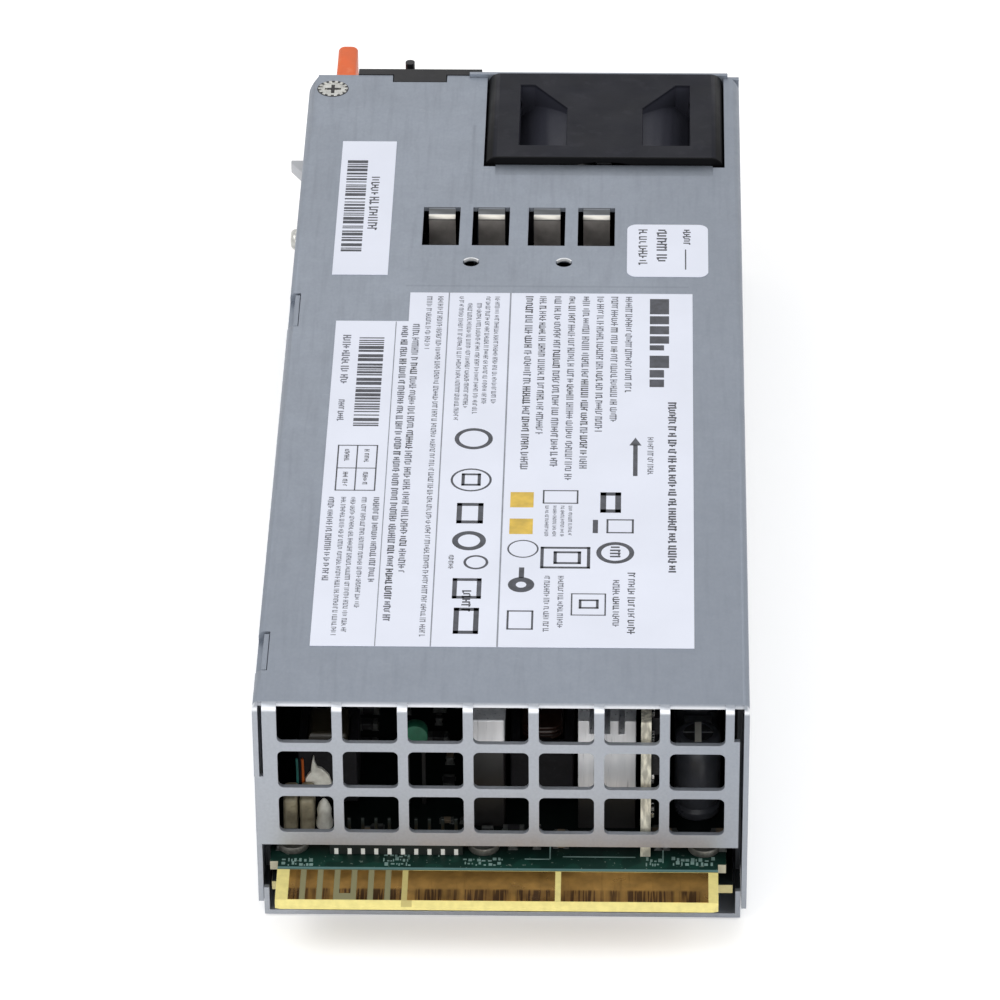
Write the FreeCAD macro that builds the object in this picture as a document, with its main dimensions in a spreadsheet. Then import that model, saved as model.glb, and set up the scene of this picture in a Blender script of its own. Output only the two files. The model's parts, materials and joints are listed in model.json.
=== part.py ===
# Hot swap power supply for a server: a long sheet metal box with a card edge at
# one end and a fan, a mains inlet, a latch and a bail at the other.
#
# Frame, in millimetres: +X to the right and +Y towards the mains end, seen from
# the card edge end, +Z up.  The origin is on the underside, on the centre line
# of the case, in the plane of the outlet grille.
import FreeCAD, Part
import math
import os
import re
import Sketcher

Vector = FreeCAD.Vector
Rotation = FreeCAD.Rotation
Placement = FreeCAD.Placement

# ---------------------------------------------------------------------------
# Sizes
# ---------------------------------------------------------------------------

SIZES = {
    # case
    "case_width": 73.5,
    "case_length": 185.0,
    "case_height": 39.0,
    "sheet": 0.8,
    "lap_gap": 0.1,
    "end_gap": 0.1,
    "flange_foot": 2.0,
    "bend_outer": 1.0,
    "tray_setback": 0.3,
    "wall_setback": 6.0,
    "wall_stub": 5.0,
    "corner_cut_across": 1.4,
    "corner_cut_along": 3.8,
    "corner_cut_small": 1.2,
    # outlet grille
    "grille_foot": 13.4,
    "grille_columns": 7,
    "grille_margin": 5.6,
    "grille_rows": 3,
    "row_margin": 0.85,
    "web_width": 1.5,
    "web_height": 1.55,
    "hole_corner": 0.9,
    "low_bar": 1.575,
    "notch_depth": 1.0,
    "slit_narrow": 0.6,
    "slit_wide": 1.45,
    "left_step": 26.0,
    "right_step": 33.0,
    "edge_margin": 0.15,
    # openings in the top of the cover
    "window_inset": 43.6,
    "window_width": 6.1,
    "window_length": 12.0,
    "window_inner": 4.6,
    "window_outer": 12.8,
    "baffle_width": 4.4,
    "baffle_drop": 7.6,
    "baffle_bend": 1.7,
    "peep_radius": 1.35,
    "peep_reach": 7.6,
    "peep_step": 5.2,
    "hook_notch_length": 10.0,
    "front_notch_y": 14.0,
    "back_notch_inset": 75.7,
    "hook_slack": 0.4,
    "clip_width": 9.0,
    "clip_depth": 1.7,
    "clip_thick": 1.4,
    "clip_slack": 0.15,
    # fan
    "fan_rise": 1.0,
    "fan_depth": 28.0,
    "fan_side_gap": 2.85,
    "fan_slack": 0.2,
    "fan_corner": 2.0,
    "fan_skin": 1.0,
    "barrel_skin": 0.8,
    "fan_flange": 4.0,
    "fan_post": 5.6,
    "fan_pocket_low": 12.0,
    "fan_rib_half": 6.4,
    "fan_web_run": 7.7,
    "fan_hole_inset": 4.0,
    "fan_hole_radius": 1.7,
    "rim_rise": 0.6,
    "rim_left_margin": 3.3,
    "rim_right_margin": 0.9,
    "relief_width": 2.0,
    "relief_depth": 1.2,
    "dip_run": 4.0,
    "dip_drop": 0.4,
    "motor_radius": 11.0,
    "motor_base": 3.0,
    "stack_radius": 8.6,
    "stack_length": 10.0,
    "bearing_radius": 3.4,
    "bearing_length": 14.0,
    "arm_width": 2.6,
    "hub_gap": 0.5,
    "hub_length": 19.0,
    "hub_wall": 1.2,
    "blade_count": 7,
    "blade_tip_gap": 0.6,
    "blade_chord": 19.0,
    "blade_thick": 1.0,
    "blade_pitch": 52.0,
    "axle_radius": 1.5,
    "axle_gap": 0.05,
    "guard_wire": 0.6,
    "guard_bar": 0.55,
    "guard_ring": 6.0,
    "guard_margin": 1.8,
    "guard_rings": 3,
    "guard_lift": 1.0,
    "eyelet_radius": 2.2,
    "fan_screw_head": 2.3,
    "fan_screw_thick": 1.0,
    "fan_screw_shank": 1.5,
    "fan_screw_reach": 8.0,
    # mains inlet, standing on its end
    "inlet_side_gap": 9.35,
    "inlet_fan_gap": 2.3,
    "inlet_lift": 0.1,
    "inlet_height": 27.0,
    "inlet_depth": 24.0,
    "socket_wall": 1.3,
    "socket_end_wall": 1.2,
    "socket_depth": 17.0,
    "socket_bevel": 4.0,
    "blade_wide": 4.0,
    "blade_thin": 2.0,
    "blade_spread": 7.0,
    "blade_offset": 2.0,
    "blade_free": 14.0,
    "terminal_reach": 5.0,
    "bezel_margin": 1.1,
    "bezel_thick": 1.9,
    "bezel_foot": 0.8,
    "relief_margin": 3.0,
    # bail
    "bail_offset": 1.9,
    "bail_stand": 4.4,
    "bail_wire": 0.8,
    "bail_past_fan": 6.3,
    "bail_clear": 1.2,
    "bail_corner": 4.0,
    "bail_end_bend": 0.9,
    "bail_tip": 4.6,
    "lug_width": 3.2,
    "lug_thick": 1.2,
    "lug_gap": 0.2,
    "lug_round": 1.4,
    "lug_hole_gap": 0.05,
    # latch spring, hook and grip
    "latch_z": 19.0,
    "latch_height": 11.0,
    "latch_thick": 0.6,
    "latch_wall_gap": 0.1,
    "latch_root_inset": 63.0,
    "latch_root_gap": 0.4,
    "latch_base_length": 16.0,
    "hook_inset": 13.8,
    "hook_length": 8.2,
    "hook_reach": 2.85,
    "hook_tip": 0.8,
    "hook_height": 2.0,
    "hook_clear": 1.0,
    "jog_start": 11.0,
    "jog_end": 3.0,
    "grip_side": 3.95,
    "grip_width": 3.4,
    "grip_skin": 0.6,
    "grip_stand": 3.0,
    "grip_length": 15.6,
    "grip_low": 2.0,
    "grip_high": 4.0,
    "grip_round": 1.2,
    "grip_cap": 2.6,
    "slot_margin": 0.9,
    "rivet_radius": 1.2,
    "rivet_head": 2.0,
    "rivet_thick": 0.8,
    "rivet_spread": 4.0,
    # side button
    "button_inset": 35.5,
    "button_z": 27.5,
    "button_radius": 1.75,
    "button_height": 1.9,
    "button_round": 0.8,
    "button_shank": 1.0,
    # circuit board and card edge
    "board_z": 8.5,
    "board_thick": 1.6,
    "board_gap_left": 0.25,
    "board_gap_right": 1.45,
    "board_front": 0.2,
    "board_end_inset": 35.0,
    "tongue_margin_left": 2.73,
    "tongue_margin_right": 2.31,
    "tongue_reach": 10.1,
    "tongue_bevel": 0.5,
    "tongue_bevel_run": 0.9,
    "tongue_corner": 0.8,
    "contact_offset": 0.39,
    "contact_pitch": 2.54,
    "contact_width": 1.65,
    "signal_count": 7,
    "power_pitches": 9,
    "contact_root": 1.9,
    "contact_tip": 1.0,
    "contact_short": 1.6,
    "contact_thick": 0.05,
    "lower_board_z": 4.5,
    "lower_board_end": 22.0,
    "lower_board_margin": 0.4,
    "post_radius": 2.4,
    "post_hole": 1.3,
    "post_inset": 3.3,
    "post_front_y": 4.2,
    "post_back_inset": 4.0,
    "post_step": 3.1,
    "board_screw_head": 2.4,
    "board_screw_thick": 1.2,
    "insulator_thick": 0.25,
    "insulator_margin": 0.5,
    # labels
    "label_thick": 0.1,
    "rating_margin_left": 7.85,
    "rating_margin_right": 8.15,
    "rating_foot": 15.3,
    "rating_step_depth": 8.7,
    "rating_step": 11.7,
    "label_gap": 5.3,
    "serial_margin": 6.55,
    "serial_width": 9.1,
    "serial_inset": 65.0,
    "serial_length": 42.4,
    "seal_margin": 5.55,
    "seal_width": 13.3,
    "seal_inset": 65.1,
    "seal_length": 16.2,
    "seal_corner": 1.6,
    # cover screw and status lamp
    "screw_side": 4.05,
    "screw_inset": 5.0,
    "screw_head": 2.65,
    "screw_sink": 0.5,
    "screw_shank": 1.2,
    "screw_length": 3.0,
    "screw_tab_width": 5.0,
    "screw_tab_length": 7.0,
    "cross_width": 0.6,
    "cross_length": 2.8,
    "cross_depth": 0.4,
    "lamp_side": 5.95,
    "lamp_z": 9.0,
    "lamp_radius": 1.5,
    "lamp_length": 7.0,
    "lamp_proud": 0.6,
    # output side of the board
    "header_inset": 8.9,
    "header_y": 2.0,
    "header_depth": 2.4,
    "header_height": 2.5,
    "header_pins": 10,
    "header_pitch": 2.0,
    "header_pin": 0.5,
    "header_pin_height": 6.0,
    "part_gap": 0.7,
    "front_gap": 0.4,
    "chip_gap": 2.1,
    "control_thick": 1.6,
    "control_y": 2.0,
    "control_length": 62.0,
    "control_clear": 3.2,
    "chip_thick": 1.4,
    "chip_width": 5.0,
    "chip_height": 4.0,
    "chip_inset": 3.0,
    "chip_pitch": 9.0,
    "chip_count": 6,
    "chip_rise": 13.0,
    "can_side": 4.3,
    "can_gap": 0.6,
    "can_setback": 3.8,
    "can_radius": 3.5,
    "can_height": 14.4,
    "can_count": 4,
    "terminal_width": 4.2,
    "terminal_thick": 1.6,
    "terminal_height": 13.3,
    "sink_setback": 2.0,
    "sink_width": 8.7,
    "sink_length": 37.0,
    "sink_height": 20.0,
    "sink_slots": 3,
    "sink_slot": 0.9,
    "sink_slot_depth": 2.4,
    "bar_width": 4.9,
    "film_side": 1.7,
    "film_width": 2.2,
    "film_length": 5.0,
    "film_height": 6.3,
    "film_pitch": 2.5,
    "film_count": 2,
    "disc_y": 14.0,
    "disc_radius": 1.9,
    "disc_thick": 2.0,
    "disc_rise": 13.2,
    "disc_leg": 0.6,
    "disc_leg_half": 1.2,
    # wound parts: middle of the width, near end, width, length, height
    "choke_y": 14.0,
    "choke_width": 9.6,
    "choke_length": 16.0,
    "choke_height": 13.0,
    "standby_side": 3.8,
    "standby_width": 9.0,
    "standby_length": 11.0,
    "standby_height": 13.2,
    "main_x": -2.0,
    "main_gap": 4.0,
    "main_width": 32.0,
    "main_length": 32.0,
    "main_clear": 4.1,
    "boost_side": 0.5,
    "boost_width": 15.6,
    "boost_length": 23.0,
    "boost_clear": 5.1,
    "filter_side": 8.8,
    "filter_width": 15.0,
    "filter_length": 12.0,
    "filter_clear": 2.3,
    "coil_share": 0.14,
    "leg_share": 0.15,
    "yoke_share": 0.16,
    "coil_gap": 0.2,
    # mains side of the board
    "primary_side": 0.1,
    "primary_gap": 2.0,
    "primary_thick": 2.0,
    "primary_clear": 4.1,
    "transistor_thick": 4.6,
    "transistor_height": 18.0,
    "transistor_rise": 3.0,
    "transistor_count": 3,
    "bulk_side": 3.2,
    "bulk_gap": 6.0,
    "bulk_end_gap": 1.8,
    "bulk_count": 2,
    "bulk_rise": 0.4,
    "bulk_lead": 1.0,
    "bulk_lead_half": 5.0,
    "bulk_lead_reach": 2.0,
    "bridge_thick": 3.5,
    "bridge_clear": 8.1,
    "block_gap": 1.5,
    "block_inset": 16.2,
    "block_length": 12.0,
    "block_clear": 6.3,
    "block_count": 2,
    "relay_clear": 5.9,
    "fuse_side": 2.4,
    "fuse_width": 4.3,
    "fuse_length": 8.4,
    "fuse_height": 7.7,
    # wiring
    "plug_side": 11.2,
    "plug_width": 5.2,
    "plug_inset": 7.0,
    "plug_length": 6.0,
    "plug_height": 5.2,
    "lead_radius": 0.4,
    "lead_pitch": 1.2,
    "lead_low": 11.1,
    "lead_rows": 2,
    "lead_margin": 0.2,
    "lead_turn": 3.1,
    "lead_bend": 1.0,
    "mains_lead": 1.1,
    "mains_bend": 2.0,
    "mains_foot_inset": 2.2,
    "mains_spread": 4.6,
}

# Sizes that follow from the ones above.
DERIVED = {
    "half_width": "case_width / 2",
    "flange_inner": "half_width - sheet",
    "tray_half": "flange_inner - lap_gap",
    "tray_inner": "tray_half - sheet",
    "face_back": "case_length - sheet",
    "shell_end": "face_back - end_gap",
    "cover_under": "case_height - sheet",
    "tray_top": "cover_under - lap_gap",
    # grille and windows
    "column_pitch": "(case_width - grille_margin) / grille_columns",
    "hole_width": "column_pitch - web_width",
    "row_pitch": "(case_height - grille_foot - row_margin) / grille_rows",
    "hole_height": "row_pitch - web_height",
    "low_row": "grille_foot + low_bar + row_pitch / 2",
    "window_y": "case_length - window_inset",
    "peep_y": "window_y - window_length - peep_step",
    "back_notch_y": "case_length - back_notch_inset",
    # fan
    "fan_size": "case_height + fan_rise",
    "fan_right": "half_width - fan_side_gap",
    "fan_left": "fan_right - fan_size",
    "fan_x": "fan_right - fan_size / 2",
    "fan_z": "fan_size / 2",
    "fan_bore": "fan_size - 2 * fan_skin",
    "fan_barrel": "fan_bore + 2 * barrel_skin",
    "fan_hole_half": "fan_size / 2 - fan_hole_inset",
    "fan_back": "face_back - fan_slack",
    "fan_front": "fan_back - fan_depth",
    "guard_step": "(fan_bore / 2 - guard_margin - guard_ring) / (guard_rings - 1)",
    "rim_left": "fan_size / 2 + rim_left_margin",
    "rim_right": "fan_size / 2 + rim_right_margin",
    "cut_front": "fan_front - fan_slack",
    "cut_left": "fan_left - fan_slack",
    "cut_right": "fan_right + fan_slack",
    # inlet, bezel and bail
    "inlet_left": "inlet_side_gap - half_width",
    "inlet_right": "fan_left - inlet_fan_gap",
    "inlet_x": "(inlet_left + inlet_right) / 2",
    "inlet_z": "case_height / 2 + inlet_lift",
    "inlet_foot": "inlet_z - inlet_height / 2",
    "inlet_top": "inlet_z + inlet_height / 2",
    "socket_width": "inlet_right - inlet_left - 2 * socket_wall",
    "socket_height": "inlet_height - 2 * socket_end_wall",
    "bezel_front": "case_length + bezel_thick",
    "bezel_left": "inlet_left - bezel_margin",
    "bezel_right": "inlet_right + bezel_margin",
    "bezel_relief_foot": "latch_z - relief_margin",
    "bezel_relief_top": "(inlet_top + case_height) / 2",
    "clip_left": "inlet_x - clip_width / 2",
    "clip_right": "inlet_x + clip_width / 2",
    "bail_x": "inlet_x - bail_offset",
    "bail_y": "case_length + bail_stand",
    "bail_leg_half": "inlet_height / 2 + bail_clear",
    "bail_high": "inlet_z + bail_leg_half",
    "bail_low": "inlet_z - bail_leg_half",
    "bail_reach": "fan_x + bail_past_fan - bail_x",
    # latch, button, screw and lamp
    "latch_outer": "-tray_inner + latch_wall_gap",
    "latch_inner": "latch_outer + latch_thick",
    "latch_top": "latch_z + latch_height",
    "latch_root_y": "case_length - latch_root_inset",
    "rivet_y": "latch_root_y - latch_base_length / 2",
    "hook_y": "case_length - hook_inset",
    "grip_left": "grip_side - half_width",
    "grip_y": "case_length + grip_stand",
    "grip_end": "grip_y + grip_length",
    "tongue_outer": "grip_left + grip_skin",
    "tongue_inner": "tongue_outer + latch_thick",
    "leaf_end": "grip_end - grip_cap",
    "button_y": "case_length - button_inset",
    "screw_x": "screw_side - half_width",
    "screw_y": "case_length - screw_inset",
    "lamp_x": "lamp_side - half_width",
    # boards and card edge
    "board_top": "board_z + board_thick",
    "board_left": "tray_inner - board_gap_left",
    "board_right": "tray_inner - board_gap_right",
    "board_end": "case_length - board_end_inset",
    "contact_span": "(signal_count + 2 * power_pitches - 1) * contact_pitch",
    "contact_left": "contact_span / 2 + contact_offset",
    "tongue_left": "contact_left + tongue_margin_left",
    "tongue_right": "contact_span - contact_left + tongue_margin_right",
    "header_left": "board_left - header_inset",
    "post_middle_x": "header_pins * header_pitch - header_left + post_step",
    "post_back_y": "board_end - post_back_inset",
    # labels
    "seal_foot": "case_length - seal_inset",
    "seal_left": "half_width - seal_margin - seal_width",
    "serial_foot": "case_length - serial_inset",
    "serial_left": "half_width - serial_margin",
    "rating_left": "half_width - rating_margin_left",
    "rating_right": "half_width - rating_margin_right",
    "rating_top": "seal_foot - label_gap",
    "rating_step_y": "rating_top - rating_step_depth",
    "rating_step_x": "rating_step - rating_left",
    # parts on the board, output side
    "headroom": "cover_under - board_top",
    "under_baffle": "case_height - baffle_drop - board_top",
    "film_y": "post_front_y + board_screw_head + front_gap",
    "film_left": "board_left - film_side",
    "can_x": "board_right - can_side",
    "can_y": "film_y + can_setback + can_radius",
    "can_pitch": "2 * can_radius + 2 * can_gap + terminal_thick",
    "terminal_y": "can_y + can_radius + can_gap",
    "control_x": "can_x - can_radius - chip_gap - chip_thick - control_thick",
    "control_height": "headroom - control_clear",
    "sink_left": "control_x - part_gap - sink_width",
    "sink_y": "film_y + sink_setback",
    "choke_x": "sink_left - part_gap - choke_width / 2",
    "bar_left": "choke_x - choke_width / 2 - part_gap - bar_width",
    "standby_x": "standby_side + standby_width / 2 - board_left",
    "standby_y": "film_y + film_length + part_gap",
    "disc_x": "(bar_left + standby_x + standby_width / 2) / 2",
    # parts on the board, mains side
    "block_y": "board_end - block_inset",
    "main_y": "sink_y + sink_length + main_gap",
    "main_height": "headroom - main_clear",
    "boost_x": "board_right - boost_side - boost_width / 2",
    "boost_y": "block_y - part_gap - boost_length",
    "boost_height": "headroom - boost_clear",
    "primary_x": "board_right - primary_side - primary_thick",
    "primary_y": "control_y + control_length + primary_gap",
    "primary_length": "boost_y - primary_gap - primary_y",
    "primary_height": "headroom - primary_clear",
    "transistor_pitch": "primary_length / transistor_count",
    "transistor_width": "transistor_pitch - part_gap",
    "bulk_left": "bulk_side - board_left",
    "bulk_right": "boost_x - boost_width / 2 - 2 * part_gap",
    "bulk_radius": "(bulk_right - bulk_left - part_gap) / 4",
    "bulk_pitch": "2 * bulk_radius + part_gap",
    "bulk_x": "bulk_left + bulk_radius",
    "bulk_y": "main_y + main_length + bulk_gap",
    "bulk_length": "block_y - bulk_end_gap - bulk_y",
    "bridge_x": "boost_x - boost_width / 2 + part_gap",
    "bridge_y": "bulk_y",
    "bridge_width": "boost_y - primary_gap - bridge_y",
    "bridge_height": "headroom - bridge_clear",
    "filter_x": "filter_side + filter_width / 2 - board_left",
    "filter_y": "block_y",
    "filter_height": "under_baffle - filter_clear",
    "plug_left": "board_right - plug_side",
    "plug_y": "board_end - plug_inset",
    "block_left": "filter_x + filter_width / 2 + block_gap",
    "block_width": "(plug_left - block_left - (block_count + 1) * block_gap) / (block_count + 1)",
    "block_pitch": "block_width + block_gap",
    "block_height": "under_baffle - block_clear",
    "relay_left": "block_left + block_count * block_pitch",
    "relay_height": "under_baffle - relay_clear",
    "fuse_left": "board_left - fuse_side",
    "mains_foot_y": "board_end - mains_foot_inset",
}

WORD = re.compile(r"[a-z][a-z_]*")

doc = FreeCAD.newDocument("ServerPowerSupply")
sheet = doc.addObject("Spreadsheet::Sheet", "Dims")
for row, (name, size) in enumerate(SIZES.items(), start=1):
    sheet.set(f"A{row}", name)
    sheet.set(f"B{row}", str(size))
    sheet.setAlias(f"B{row}", name)
doc.recompute()

nodes = []


def formula(rule):
    """The sheet expression for a rule written with the names of sizes."""

    def spell(match):
        word = match.group(0)
        if word in DERIVED:
            return "(" + formula(DERIVED[word]) + ")"
        if word in SIZES:
            return "Dims." + word
        return word

    return WORD.sub(spell, str(rule))


def number(rule):
    """The present value of a rule, in millimetres or degrees."""
    return float(sheet.evalExpression(formula(rule)))


def bind(item, **rules):
    """Tie properties of a document object to rules; a double underscore is a dot."""
    for path, rule in rules.items():
        item.setExpression(path.replace("__", "."), formula(rule))
    return item


def node(item, label):
    """Name an object of the document and list it as a piece of the product."""
    item.Label = label
    nodes.append(item)
    return item


# ---------------------------------------------------------------------------
# Part primitives
# ---------------------------------------------------------------------------

def at(item, x, y, z):
    return bind(item, Placement__Base__x=x, Placement__Base__y=y, Placement__Base__z=z)


def box(label, x, y, z):
    """A box between pairs of rules along X, Y and Z."""
    item = doc.addObject("Part::Box", label)
    bind(item, Length=f"{x[1]} - ({x[0]})", Width=f"{y[1]} - ({y[0]})", Height=f"{z[1]} - ({z[0]})")
    return at(item, x[0], y[0], z[0])


TURN = {
    "+Z": Rotation(),
    "+X": Rotation(Vector(0, 1, 0), 90),
    "-X": Rotation(Vector(0, 1, 0), -90),
    "+Y": Rotation(Vector(1, 0, 0), -90),
}


def rod(label, direction, x, y, z, radius, length):
    """A cylinder that starts at a point and runs along a direction."""
    item = doc.addObject("Part::Cylinder", label)
    item.Placement = Placement(Vector(), TURN[direction])
    bind(item, Radius=radius, Height=length)
    return at(item, x, y, z)


def ring(label, direction, x, y, z, radius, wire):
    item = doc.addObject("Part::Torus", label)
    item.Placement = Placement(Vector(), TURN[direction])
    bind(item, Radius1=radius, Radius2=wire)
    return at(item, x, y, z)


def fuse(label, shapes):
    item = doc.addObject("Part::MultiFuse", label)
    item.Shapes = shapes
    return item


def cut(label, base, tools):
    item = doc.addObject("Part::Cut", label)
    item.Base = base
    item.Tool = tools[0] if len(tools) == 1 else fuse(label + "_tools", tools)
    return item


def group(label, shapes):
    """Separate solids kept together as one piece."""
    item = doc.addObject("Part::Compound", label)
    item.Links = shapes
    return item


# ---------------------------------------------------------------------------
# PartDesign bodies and sketches
# ---------------------------------------------------------------------------

def body(label):
    return doc.addObject("PartDesign::Body", label)


def origin_feature(owner, role):
    return next(item for item in owner.Origin.OriginFeatures if item.Role == role)


def sketch(owner, label, role, offset="0"):
    """An empty sketch on one of the body's own origin planes."""
    item = owner.newObject("Sketcher::SketchObject", label)
    item.AttachmentSupport = [(origin_feature(owner, role), "")]
    item.MapMode = "FlatFace"
    return bind(item, AttachmentOffset__Base__z=offset)


def fix(item, geometry, point, across, up):
    """Hold one point of a sketch at a pair of rules."""
    for kind, rule in (("DistanceX", across), ("DistanceY", up)):
        index = item.addConstraint(Sketcher.Constraint(kind, -1, 1, geometry, point, number(rule)))
        item.setExpression(f"Constraints[{index}]", formula(rule))


def fix_radius(item, geometry, radius):
    index = item.addConstraint(Sketcher.Constraint("Radius", geometry, number(radius)))
    item.setExpression(f"Constraints[{index}]", formula(radius))


def polygon(item, corners):
    """A closed outline of straight lines through corners given as pairs of rules."""
    first = item.GeometryCount
    points = [Vector(number(across), number(up), 0) for across, up in corners]
    count = len(points)
    for index in range(count):
        item.addGeometry(Part.LineSegment(points[index], points[(index + 1) % count]))
    for index in range(count):
        after = first + (index + 1) % count
        item.addConstraint(Sketcher.Constraint("Coincident", first + index, 2, after, 1))
    for index, (across, up) in enumerate(corners):
        fix(item, first + index, 1, across, up)


def rectangle(item, across, up):
    polygon(item, [(across[0], up[0]), (across[1], up[0]), (across[1], up[1]), (across[0], up[1])])


def circle(item, across, up, radius):
    centre = Vector(number(across), number(up), 0)
    index = item.addGeometry(Part.Circle(centre, Vector(0, 0, 1), number(radius)))
    fix(item, index, 3, across, up)
    fix_radius(item, index, radius)


def rounded(item, across, up, radius):
    """A rectangle between pairs of rules with four round corners."""
    first = item.GeometryCount
    low_x, high_x = (f"({across[0]}) + {radius}", f"({across[1]}) - {radius}")
    low_y, high_y = (f"({up[0]}) + {radius}", f"({up[1]}) - {radius}")
    centres = [(low_x, low_y), (high_x, low_y), (high_x, high_y), (low_x, high_y)]
    size = number(radius)
    places = [Vector(number(x), number(y), 0) for x, y in centres]
    for index, place in enumerate(places):
        start = math.pi * (1 + index / 2)
        corner = Part.Circle(place, Vector(0, 0, 1), size)
        item.addGeometry(Part.ArcOfCircle(corner, start, start + math.pi / 2))
        outward = Vector(math.cos(start + math.pi / 2), math.sin(start + math.pi / 2), 0) * size
        following = places[(index + 1) % 4]
        item.addGeometry(Part.LineSegment(place + outward, following + outward))
    for index, (x, y) in enumerate(centres):
        arc = first + 2 * index
        following = first + (2 * index + 2) % 8
        item.addConstraint(Sketcher.Constraint("Tangent", arc, 2, arc + 1, 1))
        item.addConstraint(Sketcher.Constraint("Tangent", arc + 1, 2, following, 1))
        fix_radius(item, arc, radius)
        fix(item, arc, 3, x, y)


def pad(owner, label, profile, length, reverse=False):
    item = owner.newObject("PartDesign::Pad", label)
    item.Profile = profile
    item.Reversed = reverse
    return bind(item, Length=length)


def pocket(owner, label, profile, length, reverse=False):
    item = owner.newObject("PartDesign::Pocket", label)
    item.Profile = profile
    item.Reversed = reverse
    return bind(item, Length=length)


def repeat(owner, label, feature, role, length, count):
    """A row of copies of a feature; the body ends in the row."""
    item = owner.newObject("PartDesign::LinearPattern", label)
    item.Originals = [feature]
    item.Direction = (origin_feature(owner, role), [""])
    bind(item, Length=length, Occurrences=count)
    owner.Tip = item
    return item


def edges_where(shape, test):
    """Names of the edges whose middle point passes a test."""
    names = []
    for index, edge in enumerate(shape.Edges, start=1):
        middle = edge.valueAt((edge.FirstParameter + edge.LastParameter) / 2)
        if test(edge, middle):
            names.append(f"Edge{index}")
    return names


def near(value, rule):
    return abs(value - number(rule)) < 1e-4


def runs_along(edge, axis):
    ends = [vertex.Point for vertex in edge.Vertexes]
    if len(ends) != 2:
        return False
    span = ends[1] - ends[0]
    return abs(abs(span[axis]) - span.Length) < 1e-6


def round_edges(owner, label, feature, names, radius):
    item = owner.newObject("PartDesign::Fillet", label)
    item.Base = (feature, names)
    return bind(item, Radius=radius)


def round_tube(label, points, radius, bend):
    """A round bar along straight runs joined by tangent arcs of one bend radius."""
    places = [Vector(*(number(rule) for rule in point)) for point in points]
    size = number(bend)
    edges = []
    start = places[0]
    for before, corner, after in zip(places, places[1:], places[2:]):
        back = (before - corner).normalize()
        onward = (after - corner).normalize()
        half_turn = (math.pi - back.getAngle(onward)) / 2
        reach = size * math.tan(half_turn)
        enter = corner + back * reach
        leave = corner + onward * reach
        inward = (back + onward).normalize()
        middle = corner + inward * (size / math.cos(half_turn) - size)
        edges.append(Part.LineSegment(start, enter).toShape())
        edges.append(Part.Arc(enter, middle, leave).toShape())
        start = leave
    edges.append(Part.LineSegment(start, places[-1]).toShape())
    profile = Part.Wire(Part.makeCircle(number(radius), places[0], places[1] - places[0]))
    item = doc.addObject("Part::Feature", label)
    item.Shape = Part.Wire(edges).makePipeShell([profile], True, False)
    return item


# ---------------------------------------------------------------------------
# Case
# ---------------------------------------------------------------------------

def hook_slot(owner, label, wall_inner):
    """The opening in a left wall that the latch hook moves through."""
    slot = sketch(owner, label + "_outline", "YZ_Plane", f"-({wall_inner}) + 1")
    rectangle(
        slot,
        ("hook_y - hook_length - hook_clear", "hook_y + hook_clear"),
        ("latch_z - hook_clear", "latch_top + hook_clear"),
    )
    pocket(owner, label, slot, "sheet + 2")


def cut_corner(owner, label, wall, height):
    """Slant the far left corner of a box whose left face is at -wall."""
    corner = sketch(owner, label + "_outline", "XY_Plane", f"{height} + 1")
    polygon(corner, [
        (f"-({wall}) - 1", "shell_end - corner_cut_along"),
        (f"-({wall})", "shell_end - corner_cut_along"),
        (f"-({wall}) + corner_cut_across", "shell_end"),
        (f"-({wall}) + corner_cut_across", "shell_end + 1"),
        (f"-({wall}) - 1", "shell_end + 1"),
    ])
    pocket(owner, label, corner, f"{height} + 2")


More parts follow.
